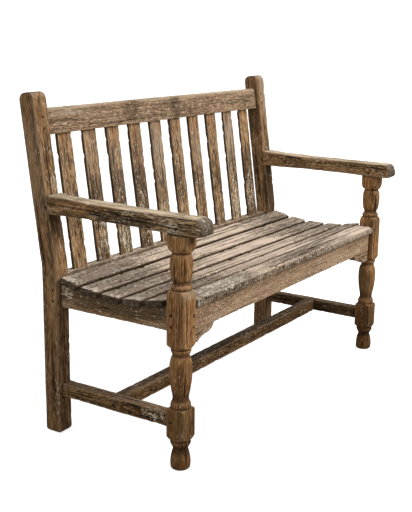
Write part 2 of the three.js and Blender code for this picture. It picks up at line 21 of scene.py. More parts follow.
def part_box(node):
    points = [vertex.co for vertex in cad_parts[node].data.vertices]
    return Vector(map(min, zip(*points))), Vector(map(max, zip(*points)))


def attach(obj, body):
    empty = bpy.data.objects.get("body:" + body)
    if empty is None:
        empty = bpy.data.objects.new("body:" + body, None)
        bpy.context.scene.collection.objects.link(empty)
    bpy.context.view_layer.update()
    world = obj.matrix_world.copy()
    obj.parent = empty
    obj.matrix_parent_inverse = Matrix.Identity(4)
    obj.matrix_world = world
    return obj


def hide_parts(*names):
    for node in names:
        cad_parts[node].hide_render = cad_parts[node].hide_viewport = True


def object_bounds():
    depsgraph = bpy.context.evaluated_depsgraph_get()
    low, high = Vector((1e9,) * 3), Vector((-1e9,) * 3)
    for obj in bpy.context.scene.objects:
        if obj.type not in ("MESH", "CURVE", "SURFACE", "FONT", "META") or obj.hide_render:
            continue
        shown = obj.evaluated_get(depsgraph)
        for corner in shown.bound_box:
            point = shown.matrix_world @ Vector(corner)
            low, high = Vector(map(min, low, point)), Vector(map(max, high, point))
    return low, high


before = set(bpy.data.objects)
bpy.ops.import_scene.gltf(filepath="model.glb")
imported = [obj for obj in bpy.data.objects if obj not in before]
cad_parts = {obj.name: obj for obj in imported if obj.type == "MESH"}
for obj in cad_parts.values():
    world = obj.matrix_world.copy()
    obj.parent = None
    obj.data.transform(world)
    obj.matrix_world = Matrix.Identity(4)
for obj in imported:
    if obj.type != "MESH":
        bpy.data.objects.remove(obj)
cad_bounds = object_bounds()

LOG = logging.getLogger("bench")

Triple = tuple[float, float, float]
Corners = tuple[float, float, float, float]
Rgba = tuple[float, float, float, float]
Colour = tuple[int, int, int]
Shares = tuple[tuple[float, float], ...]
Socket = bpy.types.NodeSocket

# Names of the masks that each mesh carries, three values to each
GRAIN = "grain"
WEAR = "wear"
WEATHER = "weather"
TINT = "tint"


class Weathering(Enum):
    """What a patch of surface has come to, with the mask and channel that hold it."""

    LICHEN = (WEATHER, 0)
    # Real stains, and painted shade where a stain patch stands for shadow
    STAIN = (WEATHER, 1)
    BARE = (WEATHER, 2)
    ALGAE = (TINT, 0)
    PALE = (TINT, 1)


LICHEN, STAIN, BARE, ALGAE, PALE = Weathering


class Face(Enum):
    """The four long faces of a piece, by the quarter turn that each one looks to."""

    RIGHT = 0
    TOP = 1
    LEFT = 2
    BOTTOM = 3


class Side(Enum):
    """The two sides of the bench, with the sign of their X."""

    LEFT = -1
    RIGHT = 1

    def of(self, stem: str) -> str:
        """The node on this side, of the pair that a stem names."""
        return f"{stem}_{self.name.lower()}"

    def faces(self) -> tuple[Face, Face]:
        """The faces of a piece on this side that look out of the bench and into it."""
        return (Face.LEFT, Face.RIGHT) if self is Side.LEFT else (Face.RIGHT, Face.LEFT)


class Bumps(Enum):
    """Kinds of unevenness in worn wood, as the size of one bump along and across the grain."""

    WAVE = (0.24, 0.05, 0.05)
    EDGE = (0.05, 0.02, 0.02)
    CHIP = (0.016, 0.011, 0.011)
    PIT = (0.013, 0.0042, 0.0042)
    RAGGED_END = (0.05, 0.006, 0.006)
    END_FACE = (1.0, 0.004, 0.004)


class GrainNoise:
    """Smooth noise that is the same in every run."""

    cells = 256

    def __init__(self, seed: int) -> None:
        """Shuffles the lattice.

        Args:
            seed: Picks one lattice out of many.
        """
        draw = np.random.default_rng(seed)
        self.order = draw.permutation(self.cells)
        self.heights = draw.uniform(-1.0, 1.0, self.cells)

    def at(self, places: np.ndarray) -> np.ndarray:
        """Reads the noise.

        Args:
            places: Lattice coordinates, three to a place in the last axis.

        Returns:
            One value from -1 to 1 for each place.
        """
        base = np.floor(places).astype(int)
        part = places - base
        part = part * part * (3.0 - 2.0 * part)
        total = np.zeros(places.shape[:-1])
        for corner in np.ndindex(2, 2, 2):
            key = np.zeros(places.shape[:-1], int)
            for axis in range(3):
                key = self.order[(key + base[..., axis] + corner[axis]) % self.cells]
            weight = np.prod(np.where(np.array(corner) == 1, part, 1.0 - part), axis=-1)
            total += weight * self.heights[key]
        return total


NOISE = GrainNoise(seed=11)


def smooth_step(value: np.ndarray, low: float, high: float) -> np.ndarray:
    """Rises smoothly from 0 at the low value to 1 at the high one."""
    share = np.clip((value - low) / (high - low), 0.0, 1.0)
    return share * share * (3.0 - 2.0 * share)


def round_over(distance: np.ndarray, radius: float) -> np.ndarray:
    """How far a round edge falls back from its face, at a distance from the end."""
    short = np.clip(radius - distance, 0.0, radius)
    return radius - np.sqrt(radius**2 - short**2)


def as_share(noise: np.ndarray) -> np.ndarray:
    """Noise from -1 to 1, as a share from 0 to 1."""
    return 0.5 + 0.5 * noise


def with_middles(values: np.ndarray) -> np.ndarray:
    """The values of all rings in one row, then the mean of the first ring and of the last."""
    middles = [values[0].mean(axis=0), values[-1].mean(axis=0)]
    return np.concatenate([values.reshape(-1, values.shape[-1]), middles])


@dataclass(frozen=True)
class StraightPath:
    """Straight grain: unit vectors along, across and through the piece."""

    along: Triple
    across: Triple
    through: Triple
    origin: Triple = (0.0, 0.0, 0.0)

    def place(self, along: np.ndarray, across: np.ndarray, through: np.ndarray) -> np.ndarray:
        """Puts places on the piece, in the axes of its grain, into the frame's axes."""
        local = np.stack([along, across, through], axis=-1)
        return local @ np.array([self.along, self.across, self.through]) + self.origin

    def locate(self, points: np.ndarray) -> np.ndarray:
        """Puts points of the frame into the axes of the grain."""
        axes = np.array([self.along, self.across, self.through])
        return (np.asarray(points) - self.origin) @ axes.T


@dataclass(frozen=True)
class BentPath:
    """Grain that stands plumb, then leans back above a knee."""

    front: float
    knee: float
    lean: float
    reach: float
    bend: float = 0.02
    steps: int = 4000

    def line(self) -> tuple[np.ndarray, np.ndarray, np.ndarray, np.ndarray]:
        """Works out the front line in the Y-Z plane.

        Returns:
            Distance along, Y, Z and the angle of lean at each step.
        """
        along = np.linspace(0.0, self.reach, self.steps)
        angle = self.lean * smooth_step(along, self.knee - self.bend, self.knee + self.bend)
        step = along[1]
        y = self.front + np.concatenate([[0.0], np.cumsum(np.sin(angle[:-1]) * step)])
        z = np.concatenate([[0.0], np.cumsum(np.cos(angle[:-1]) * step)])
        return along, y, z, angle

    def place(self, along: np.ndarray, across: np.ndarray, through: np.ndarray) -> np.ndarray:
        """Puts places on the piece into the frame's axes.

        Args:
            along: Distance along the grain.
            across: Distance across it, which is X.
            through: Distance behind the front line.

        Returns:
            Points, with X, Y and Z in the last axis.
        """
        steps, y, z, angle = self.line()
        lean = np.interp(along, steps, angle)
        py = np.interp(along, steps, y) + through * np.cos(lean)
        pz = np.interp(along, steps, z) - through * np.sin(lean)
        return np.stack([across + 0.0 * along, py, pz], axis=-1)

    def locate(self, points: np.ndarray) -> np.ndarray:
        """Puts points of the frame into the piece's own axes.

        Args:
            points: Points, with X, Y and Z in the last axis.

        Returns:
            Along, across and through in the last axis.
        """
        steps, y, z, angle = self.line()
        points = np.atleast_2d(points)
        dy = points[:, 1, None] - y
        dz = points[:, 2, None] - z
        nearest = np.abs(dy * np.sin(angle) + dz * np.cos(angle)).argmin(axis=1)
        rows = np.arange(len(points))
        lean = angle[nearest]
        through = dy[rows, nearest] * np.cos(lean) - dz[rows, nearest] * np.sin(lean)
        return np.stack([steps[nearest], points[:, 0], through], axis=-1)


ALONG_X = StraightPath((1, 0, 0), (0, 1, 0), (0, 0, 1))
ALONG_Y = StraightPath((0, 1, 0), (1, 0, 0), (0, 0, 1))


def leaned_axes(lean: float) -> tuple[tuple, tuple]:
    """The rearward and upright axes, tipped to +Y by an angle in radians."""
    cosine, sine = math.cos(lean), math.sin(lean)
    return (0.0, cosine, -sine), (0.0, sine, cosine)


def node_points(node: str) -> np.ndarray:
    """The corners of a CAD node, one to a row."""
    return np.array([vertex.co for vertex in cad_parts[node].data.vertices])


def limits_of(node: str, path: StraightPath | BentPath) -> tuple[np.ndarray, np.ndarray]:
    """The lowest and highest corners of a CAD node in the axes of its grain."""
    local = path.locate(node_points(node))
    return local.min(axis=0), local.max(axis=0)


def broad_tilt(node: str) -> float:
    """How far a board is tipped about X, from its own section.

    Args:
        node: The board's name.

    Returns:
        The angle from +Y up to the board's width, in radians.
    """
    section = node_points(node)[:, 1:]
    _, directions = np.linalg.eigh(np.cov(section.T))
    width = directions[:, 1] * math.copysign(1.0, directions[0, 1])
    return math.atan2(width[1], width[0])


@dataclass(frozen=True)
class Crack:
    """A drying crack that follows the grain. Places are shares of the face and length."""

    face: Face
    place: float
    start: float
    end: float
    width: float = 0.0024
    depth: float = 0.0035
    drift: float = 0.002


@dataclass(frozen=True)
class Patch:
    """A place on the bench where one kind of weathering gathers, whole within its core; some stain patches
    are painted shadow.
    """

    kind: Weathering
    centre: Triple | np.ndarray
    reach: Triple
    strength: float = 1.0
    core: float = 0.25

    def mask(self, points: np.ndarray) -> np.ndarray:
        """The strength at each point, from X, Y and Z in the last axis."""
        distance = np.linalg.norm((points - self.centre) / np.array(self.reach), axis=-1)
        return self.strength * smooth_step(-distance, -1.0, -self.core)


@dataclass(frozen=True)
class Exposure:
    """How hard the weather has worked on a piece."""

    ridge: float = 0.00045
    ridge_width: float = 0.0045
    wave: float = 0.0007
    erosion: float = 0.0008
    chips: float = 0.005
    fray: float = 0.0
    pits: float = 0.0
    arris_spread: float = 0.004
    end_reach: float = 0.004
    tail_reach: float = 0.004
    side_reach: float = 0.004


@dataclass
class Rings:
    """The outline of a piece at each station along its grain."""

    points: np.ndarray
    normals: np.ndarray
    arris: np.ndarray
    # Darkening in hollows, with painted shade on shaded faces and in narrow necks
    hollow: np.ndarray


@dataclass(frozen=True)
class PegSpot:
    """Where a peg comes out of a piece, in the axes of its grain, and the hollow round it."""

    place: np.ndarray
    outward: np.ndarray
    radius: float = 0.0043
    depth: float = 0.0014
    rim_share: float = 1.3
    floor_share: float = 0.8
    dirt: float = 0.55


# Relief of worn wood: lengths along the grain in metres, the others shares
COARSE_RIDGE = 0.11
FINE_RIDGE = 0.035
FINENESS = 2.1
FINE_SHARE = 0.35
SOUND_LEVEL = 0.25
WAVE_SHARE = 0.6
EDGE_LOSS = (0.4, 0.6)
CHIP_LEVEL = 0.38
PIT_LEVEL = 0.35
SEED_STRIDE = 3.7

# Drying cracks: how far their line strays, how they narrow, and what chance may draw
DRIFT_LENGTH = 0.07
CRACK_STRIDE = 7.3
CRACK_TIP = 0.35
CRACK_LIP = 1.15
SHORTEST_CRACK = 0.12
CRACK_DEPTHS = (0.0015, 0.004)
CRACK_WIDTHS = (0.0016, 0.0026)

# Ends: how deep fraying goes, how rough sawn wood is and how strong its mask
FRAY_REACH = 0.009
FRAY_SHARE = 0.35
SAWN_ROUGHNESS = 0.0003
END_STRENGTH = 0.85

# How squarely a place must look the way of a side, of a peg and of a cracked face
SIDE_FACING = 0.85
PEG_FACING = 0.7
FACE_FACING = 0.95

# Stations near a rounded end, as shares of its radius, and how a face's painted shade fades round a corner
END_STEPS = (0.0, 0.12, 0.35, 0.65, 1.0)
FACE_SHADE_FADE = 0.6


@dataclass
class Timber:
    """A piece of timber that stands for one CAD node."""

    node: str
    path: StraightPath | BentPath
    stations: np.ndarray
    exposure: Exposure = Exposure()
    cracks: tuple[Crack, ...] = ()
    patches: tuple[Patch, ...] = ()
    pegs: tuple[PegSpot, ...] = ()
    seed: int = 0
    cap_shares: tuple[float, ...] = (0.86, 0.66, 0.42, 0.2)

    def rings(self) -> Rings:
        """Draws the outline at each station; each kind of piece has its own."""
        raise NotImplementedError

    def crack_offset(self, crack: Crack, rings: Rings) -> np.ndarray:
        """Distance of each place from a crack's line; each kind of piece has its own."""
        raise NotImplementedError

    def bumps(self, grain: np.ndarray, size: Triple) -> np.ndarray:
        """Noise from -1 to 1 over the piece, with bumps of one size."""
        return NOISE.at(grain / size + np.array([self.seed * SEED_STRIDE, 0.0, 0.0]))

    def worn_depth(self, grain: np.ndarray, rings: Rings) -> tuple[np.ndarray, np.ndarray]:
        """How deep the surface has worn.

        Args:
            grain: Along, across and through of each place.
            rings: The sound outline.

        Returns:
            Depth below the sound surface, and the relief of the grain from 0 to 1.
        """
        worn = self.exposure
        width = worn.ridge_width
        coarse = self.bumps(grain, (COARSE_RIDGE, width, width))
        fine = self.bumps(grain, (FINE_RIDGE, width / FINENESS, width / FINENESS))
        relief = (1 - FINE_SHARE) * coarse + FINE_SHARE * fine
        wave = self.bumps(grain, Bumps.WAVE.value)
        depth = worn.ridge * (SOUND_LEVEL - relief) - WAVE_SHARE * worn.wave * wave
        edge = EDGE_LOSS[0] + EDGE_LOSS[1] * self.bumps(grain, Bumps.EDGE.value)
        bitten = worn.chips * np.clip(self.bumps(grain, Bumps.CHIP.value) - CHIP_LEVEL, 0.0, 1.0)
        depth += rings.arris * (worn.erosion * edge + bitten)
        if worn.pits:
            depth += worn.pits * np.clip(self.bumps(grain, Bumps.PIT.value) - PIT_LEVEL, 0.0, 1.0)
        return depth, as_share(relief)

    def open_cracks(self, along: np.ndarray, rings: Rings) -> tuple[np.ndarray, np.ndarray]:
        """Cuts the drying cracks.

        Args:
            along: Distance along the grain of each place.
            rings: The sound outline.

        Returns:
            Depth that the cracks add, and their mask from 0 to 1.
        """
        depth, mask = np.zeros(along.shape), np.zeros(along.shape)
        share = (along - self.stations[0]) / np.ptp(self.stations)
        for index, crack in enumerate(self.cracks):
            part = np.clip((share - crack.start) / (crack.end - crack.start), 0.0, 1.0)
            taper = np.sqrt(np.sin(np.pi * part))
            row = np.full_like(along, CRACK_STRIDE * index + self.seed)
            strayed = NOISE.at(np.stack([along / DRIFT_LENGTH, np.zeros_like(along), row], axis=-1))
            line = self.crack_offset(crack, rings) - crack.drift * strayed
            width = crack.width * (CRACK_TIP + (1 - CRACK_TIP) * taper)
            groove = np.clip(CRACK_LIP - np.abs(line) / width, 0.0, 1.0)
            depth = np.maximum(depth, crack.depth * groove * taper)
            mask = np.maximum(mask, smooth_step(groove * taper, 0.05, 0.6))
        return depth, mask

    def sink_pegs(self, grain: np.ndarray, rings: Rings) -> tuple[np.ndarray, np.ndarray]:
        """Hollows the wood round each peg's head.

        Args:
            grain: Along, across and through of each place.
            rings: The sound outline.

        Returns:
            Depth that the hollows add, and their mask from 0 to 1.
        """
        depth, mask = np.zeros(grain.shape[:-1]), np.zeros(grain.shape[:-1])
        for peg in self.pegs:
            away = grain - peg.place
            away -= (away @ peg.outward)[..., None] * peg.outward
            distance = np.linalg.norm(away, axis=-1)
            sunk = smooth_step(-distance, -peg.rim_share * peg.radius, -peg.floor_share * peg.radius)
            sunk = sunk * (rings.normals @ peg.outward[1:] > PEG_FACING)
            depth = np.maximum(depth, peg.depth * sunk)
            mask = np.maximum(mask, peg.dirt * sunk)
        return depth, mask

    def body(self) -> tuple[np.ndarray, ...]:
        """Weathers the outline between the two ends.

        Returns:
            Along, across, grain, wear and relief of each place, one ring to a row.
        """
        rings = self.rings()
        exposure = self.exposure
        along = np.repeat(self.stations[:, None], rings.arris.shape[1], axis=1)
        grain = np.concatenate([along[..., None], rings.points], axis=-1)
        depth, relief = self.worn_depth(grain, rings)
        crack_depth, cracked = self.open_cracks(along, rings)
        peg_depth, pegged = self.sink_pegs(grain, rings)
        across = rings.points - rings.normals * (depth + crack_depth + peg_depth)[..., None]
        from_start = along - along[0]
        from_end = along[-1] - along
        beside = np.abs(rings.normals[..., 0]) > SIDE_FACING
        reach = np.where(beside, exposure.side_reach, exposure.end_reach)
        near = np.minimum(from_start / reach, from_end / exposure.tail_reach)
        end = END_STRENGTH * np.exp(-(near**4))
        # Dirt in cracks, darker peg and turned hollows, and the painted shade of faces and necks
        dirt = np.maximum.reduce([cracked, pegged, rings.hollow])
        wear = np.stack([rings.arris, dirt, end], axis=-1)
        ragged = exposure.fray * as_share(NOISE.at(grain / Bumps.RAGGED_END.value + self.seed))
        pull = np.exp(-((from_start / FRAY_REACH) ** 2)) - np.exp(-((from_end / FRAY_REACH) ** 2))
        return along + ragged * pull, across, grain, wear, relief

    def mesh_arrays(self) -> tuple[np.ndarray, list[list[int]], dict[str, np.ndarray]]:
        """Closes the weathered outline into a mesh.

        Returns:
            Points, faces and the masks by name, with one row to a point.
        """
        body = self.body()
        columns = body[0].shape[1]
        first = self.cap(*(values[0] for values in body[:3]), self.exposure.fray)
        last = self.cap(*(values[-1] for values in body[:3]), -self.exposure.fray)
        layers = [*reversed(first), body, *last]
        along, across, grain, wear, relief = (
            np.concatenate([np.reshape(layer[index], (-1, columns, *channels)) for layer in layers])
            for index, channels in enumerate(((), (2,), (3,), (3,), ()))
        )
        points = with_middles(self.path.place(along, across[..., 0], across[..., 1]))
        masks = {GRAIN: with_middles(grain) + self.grain_shift(), WEAR: with_middles(wear)}
        masks.update(self.patch_masks(points, with_middles(relief[..., None])[:, 0]))
        return points, self.faces(len(along), columns), masks

    def cap(self, along: np.ndarray, across: np.ndarray, grain: np.ndarray, fray: float) -> list[tuple]:
        """Closes an end with rings that shrink to its middle.

        Args:
            along: Distance along the grain of the end's rim.
            across: The rim's outline.
            grain: The rim's place in the grain.
            fray: How far the end grain is ragged, signed into the piece.

        Returns:
            One layer for each ring, from the rim inwards.
        """
        middle = across.mean(axis=0)
        wear = np.tile([0.0, 0.0, 1.0], (len(along), 1))
        ragged = fray * FRAY_SHARE + math.copysign(SAWN_ROUGHNESS, fray or 1.0)
        layers = []
        for share in self.cap_shares:
            ring = middle + (across - middle) * share
            place = np.concatenate([along[:, None], ring], axis=-1)
            rough = NOISE.at(place / Bumps.END_FACE.value + self.seed)
            ring_grain = np.concatenate([grain[:, :1], ring], axis=-1)
            layers.append((along + ragged * rough, ring, ring_grain, wear, as_share(rough)))
        return layers

    def faces(self, count: int, columns: int) -> list[list[int]]:
        """Joins the rings.

        Args:
            count: Number of rings, caps included.
            columns: Points on each ring.

        Returns:
            Faces as point numbers, the two end fans last.
        """
        ring = np.arange(count - 1)[:, None] * columns
        here = np.arange(columns)
        following = (here + 1) % columns
        quads = np.stack(
            [ring + here, ring + following, ring + columns + following, ring + columns + here], axis=-1
        ).reshape(-1, 4)
        first, last = count * columns, count * columns + 1
        rim = (count - 1) * columns
        fans = [[int(b), int(a), first] for a, b in zip(here, following)]
        fans += [[int(rim + a), int(rim + b), last] for a, b in zip(here, following)]
        return quads.tolist() + fans

    def grain_shift(self) -> np.ndarray:
        """Where in its tree the piece was sawn, so that no two show the same grain.

        Returns:
            The shift along, across and through.
        """
        draw = np.random.default_rng(self.seed + 100)
        pith = draw.uniform(0.02, 0.08, 2) * draw.choice([-1.0, 1.0], 2)
        return np.array([draw.uniform(0.0, 20.0), *pith])

    def patch_masks(self, points: np.ndarray, relief: np.ndarray) -> dict[str, np.ndarray]:
        """Lays the patches of weathering on the piece.

        Args:
            points: The mesh's points.
            relief: Height of the grain at each point, from 0 to 1.

        Returns:
            The weather and tint masks.
        """
        masks = {WEATHER: np.zeros((len(points), 3)), TINT: np.zeros((len(points), 3))}
        for patch in self.patches:
            name, channel = patch.kind.value
            held = masks[name][:, channel]
            masks[name][:, channel] = np.maximum(held, patch.mask(points))
        masks[TINT][:, 2] = relief
        return masks

    def build(self) -> bpy.types.Object:
        """Makes the piece's object, which stands for its CAD node.

        Returns:
            The new object, riding on the bench.
        """
        points, faces, masks = self.mesh_arrays()
        mesh = bpy.data.meshes.new(f"weathered_{self.node}")
        mesh.from_pydata(points.tolist(), [], faces)
        shell = bmesh.new()
        shell.from_mesh(mesh)
        bmesh.ops.recalc_face_normals(shell, faces=shell.faces)
        shell.to_mesh(mesh)
        shell.free()
        for name, values in masks.items():
            layer = mesh.attributes.new(name, "FLOAT_VECTOR", "POINT")
            layer.data.foreach_set("vector", values.astype(np.float32).ravel())
        mesh.polygons.foreach_set("use_smooth", [True] * len(mesh.polygons))
        piece = bpy.data.objects.new(mesh.name, mesh)
        bpy.context.scene.collection.objects.link(piece)
        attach(piece, "root")
        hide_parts(self.node)
        LOG.info("built %s with %d faces", piece.name, len(faces))
        return piece


@dataclass
class Plank(Timber):
    """A piece with a rounded rectangular section, whose limits may change along it.

    The limits are arrays with one value to a station, or one value for them all. The
    radii and the wear are those of the corners at right bottom, right top, left top and
    left bottom. The face shade is painted shade on the right, top, left and bottom faces.
    """

    left: np.ndarray | float = 0.0
    right: np.ndarray | float = 0.0
    bottom: np.ndarray | float = 0.0
    top: np.ndarray | float = 0.0
    radii: Corners = (0.002,) * 4
    corner_wear: Corners = (1.0,) * 4
    # Painted shade on the right, top, left and bottom faces, from 0 to 1
    face_shade: Corners = (0.0,) * 4
    end_round: float = 0.0012
    spacing: float = 0.0022
    corner_steps: int = 4

    def section(self) -> tuple[np.ndarray, ...]:
        """The limits at each station, drawn in at both ends by the end's round edge.

        Returns:
            Left, right, bottom and top.
        """
        ones = np.ones(len(self.stations))
        left, right, bottom, top = (ones * v for v in (self.left, self.right, self.bottom, self.top))
        start = round_over(self.stations - self.stations[0], self.end_round)
        end = round_over(self.stations[-1] - self.stations, self.end_round)
        inset = np.maximum(start, end)
        return left + inset, right - inset, bottom + inset, top - inset

    def rings(self) -> Rings:
        """Draws the rounded rectangle at each station.

        Returns:
            The outline, its normals, how near each place is to an arris, and the painted shade of each
            face.
        """
        left, right, bottom, top = self.section()
        tightest = 0.49 * np.minimum(right - left, top - bottom)
        radius = np.stack([np.minimum(value, tightest) for value in self.radii], axis=-1)
        corners = ((right, bottom), (right, top), (left, top), (left, bottom))
        sides = np.stack([np.stack(corner, axis=-1) for corner in corners], axis=1)
        outward = np.array([(1, -1), (1, 1), (-1, 1), (-1, -1)], float)
        centres = sides - outward * radius[..., None]
        share = np.linspace(0.0, 1.0, self.corner_steps + 1)
        parts = []
        for corner in range(4):
            turn = np.linspace(corner - 1, corner, self.corner_steps + 1)[None, :] * np.pi / 2
            way = np.stack([np.cos(turn), np.sin(turn)], axis=-1)
            arc = centres[:, corner, None] + radius[:, corner, None, None] * way
            wear = np.full(arc.shape[:2], self.corner_wear[corner])
            # Painted shade of the faces on both sides of this corner, fading round it
            before = self.face_shade[corner - 1] * (1 - share) ** FACE_SHADE_FADE
            face_shade = np.broadcast_to(np.maximum(before, self.face_shade[corner] * share**FACE_SHADE_FADE), wear.shape)
            parts.append((arc, np.broadcast_to(way, arc.shape), wear, face_shade))
            parts.append(self.flat(corner, centres, radius))
        return Rings(*(np.concatenate([part[index] for part in parts], axis=1) for index in range(4)))

    def flat(self, face: int, centres: np.ndarray, radius: np.ndarray) -> tuple:
        """Draws one flat face between its two corners.

        Args:
            face: The face's number.
            centres: Centres of the four corners at each station.
            radius: Radii of the four corners at each station.

        Returns:
            Points, normals, wear and painted shade of the face, its ends left out.
        """
        after = (face + 1) % 4
        way = np.array([math.cos(face * math.pi / 2), math.sin(face * math.pi / 2)])
        start = centres[:, face] + radius[:, face, None] * way
        end = centres[:, after] + radius[:, after, None] * way
        length = np.linalg.norm(end - start, axis=-1)
        steps = max(2, round(float(length.max()) / self.spacing))
        share = np.linspace(0.0, 1.0, steps + 1)[1:-1]
        points = start[:, None] + share[None, :, None] * (end - start)[:, None]
        spread = self.exposure.arris_spread
        near_start = np.exp(-((share * length[:, None] / spread) ** 2)) * self.corner_wear[face]
        near_end = np.exp(-(((1 - share) * length[:, None] / spread) ** 2)) * self.corner_wear[after]
        arris = np.maximum(near_start, near_end)
        return points, np.broadcast_to(way, points.shape), arris, np.full(arris.shape, self.face_shade[face])

    def crack_offset(self, crack: Crack, rings: Rings) -> np.ndarray:
        """Distance of each place from a crack's line across its face.

        Args:
            crack: The crack.
            rings: The sound outline.

        Returns:
            Signed distances, large off the crack's own face.
        """
        angle = crack.face.value * math.pi / 2
        way = np.array([math.cos(angle), math.sin(angle)])
        tangent = np.array([-way[1], way[0]])
        place = rings.points @ tangent
        low, high = place.min(axis=1), place.max(axis=1)
        line = low + crack.place * (high - low)
        off = rings.normals @ way < FACE_FACING
        return place - line[:, None] + off


@dataclass
class Turning(Timber):
    """A piece turned round its grain, with square blocks where the radius passes them."""

    radius: np.ndarray | float = 0.0
    half: float = 1.0
    columns: int = 88
    squareness: float = 52.0
    blend: float = 0.0008
    widest: float = 1.15
    block_shares: tuple[float, float] = (1.2, 1.4)
    hollow_curve: float = 420.0
    hollow_level: float = 0.15
    # How dark the turned-in hollows are, and how strong the painted shade in the narrow necks
    hollow_dirt: float = 0.75
    neck_shares: tuple[float, float] = (0.94, 0.78)
    neck_dirt: float = 0.6
    rim_wear: float = 0.6

    def rings(self) -> Rings:
        """Draws the turned or square outline at each station.

        Returns:
            The outline, its normals, the arrises, and the darkening of the turned-in hollows, with painted
            shade in the narrow necks.
        """
        face = np.linspace(-1.0, 1.0, self.columns // 4, endpoint=False)
        turn = np.concatenate([np.arctan(face) + quarter * np.pi / 2 for quarter in range(4)])
        way = np.stack([np.cos(turn), np.sin(turn)], axis=-1)
        turned = np.ones((len(self.stations), 1)) * np.reshape(self.radius, (-1, 1))
        norm = (np.abs(way) ** self.squareness).sum(axis=-1) ** (1 / self.squareness)
        square = (self.half / norm)[None, :]
        mix = np.clip(0.5 + 0.5 * (square - turned) / self.blend, 0.0, 1.0)
        radius = square * (1 - mix) + turned * mix - self.blend * mix * (1 - mix)
        points = radius[..., None] * way
        block = smooth_step(turned / self.half, *self.block_shares)
        corner_distance = self.half * (1.0 - np.abs(np.tile(face, 4)))
        arris = block * np.exp(-((corner_distance / self.exposure.arris_spread) ** 2))[None, :]
        shape = np.minimum(turned, self.half * self.widest) * np.ones_like(radius)
        slope = np.gradient(shape, self.stations, axis=0)
        curve = np.gradient(slope, self.stations, axis=0) / self.hollow_curve
        rim = np.clip(-curve, 0.0, 1.0)
        # Painted shade where the turning narrows well inside its square stock, as in the legs' necks; a peg
        # is that thin all along
        neck = smooth_step(-turned / self.half, *(-share for share in self.neck_shares))
        turned_in = np.clip(curve - self.hollow_level, 0.0, 1.0)
        hollow = np.maximum(self.hollow_dirt * turned_in, self.neck_dirt * neck)
        normals = np.broadcast_to(way, points.shape)
        return Rings(points, normals, np.maximum(arris, self.rim_wear * rim), hollow)

    def crack_offset(self, crack: Crack, rings: Rings) -> np.ndarray:
        """Distance of each place from a crack's line round the turning.

        Args:
            crack: The crack.
            rings: The sound outline.

        Returns:
            Signed distances round the surface.
        """
        line = (crack.face.value + crack.place - 0.5) * math.pi / 2
        turn = np.arctan2(rings.points[..., 1], rings.points[..., 0])
        apart = (turn - line + math.pi) % (2 * math.pi) - math.pi
        return apart * np.linalg.norm(rings.points, axis=-1)


def stations_between(start: float, end: float, step: float, rounding: float = 0.0012) -> np.ndarray:
    """Stations along a piece, close together where its ends are rounded.

    Args:
        start: Where the piece starts.
        end: Where it ends.
        step: Spacing along the piece.
        rounding: Radius of the round edge at each end.

    Returns:
        Distances along the grain, rising.
    """
    edge = rounding * np.array(END_STEPS)
    inner = np.linspace(start + 2 * rounding, end - 2 * rounding, max(4, round((end - start) / step)))
    return np.concatenate([start + edge, inner, (end - edge)[::-1]])


def scattered_cracks(seed: int, faces: Iterable[Face], count: int, longest: float) -> tuple[Crack, ...]:
    """Drying cracks where chance puts them.

    Args:
        seed: Picks their places.
        faces: The faces that they may open on.
        count: How many there are.
        longest: The longest one, as a share of the piece.

    Returns:
        The cracks.
    """
    draw = np.random.default_rng(seed)
    faces = list(faces)
    cracks = []
    for _ in range(count):
        length = draw.uniform(SHORTEST_CRACK, longest)
        start = draw.uniform(0.0, 1.0 - length)
        face = faces[draw.integers(len(faces))]
        depth = draw.uniform(*CRACK_DEPTHS)
        width = draw.uniform(*CRACK_WIDTHS)
        cracks.append(Crack(face, draw.uniform(0.1, 0.9), start, start + length, width, depth))
    return tuple(cracks)


def peg_names() -> list[str]:
    """The names of all the pegs and dowels, in order."""
    return sorted(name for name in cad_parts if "peg" in name or "dowel" in name)


def peg_ends(node: str) -> tuple[np.ndarray, np.ndarray]:
    """The two ends of a CAD peg's axis.

    Args:
        node: The peg's name.

    Returns:
        The middles of its two faces.
    """
    points = node_points(node)
    middle = points.mean(axis=0)
    _, _, directions = np.linalg.svd(points - middle, full_matrices=False)
    reach = (points - middle) @ directions[0]
    return middle + directions[0] * reach.min(), middle + directions[0] * reach.max()


def peg_spots(node: str, path: StraightPath | BentPath, within: float = 0.004) -> tuple[PegSpot, ...]:
    """Finds the pegs whose heads come out of a piece.

    Args:
        node: The piece that is pegged.
        path: Its grain.
        within: How near to the piece's box a head lies.

    Returns:
        A spot for each head, in the axes of the piece's grain.
    """
    low, high = limits_of(node, path)
    spots = []
    for name in peg_names():
        first, second = (path.locate(point).ravel() for point in peg_ends(name))
        for head, other in ((first, second), (second, first)):
            outward = (head - other) / np.linalg.norm(head - other)
            inside = np.all(head > low - within) and np.all(head < high + within)
            surface = np.minimum(np.abs(head - low), np.abs(head - high))
            on_face = surface[np.abs(outward).argmax()] < within
            if inside and on_face:
                spots.append(PegSpot(head, outward))
    return tuple(spots)


def srgb(colour: Colour) -> Rgba:
    """A colour as a shader takes it.

    Args:
        colour: Red, green and blue, to 255.

    Returns:
        The linear colour, opaque.
    """
    shares = [value / 255 for value in colour]
    linear = [s / 12.92 if s <= 0.04045 else ((s + 0.055) / 1.055) ** 2.4 for s in shares]
    return (*linear, 1.0)


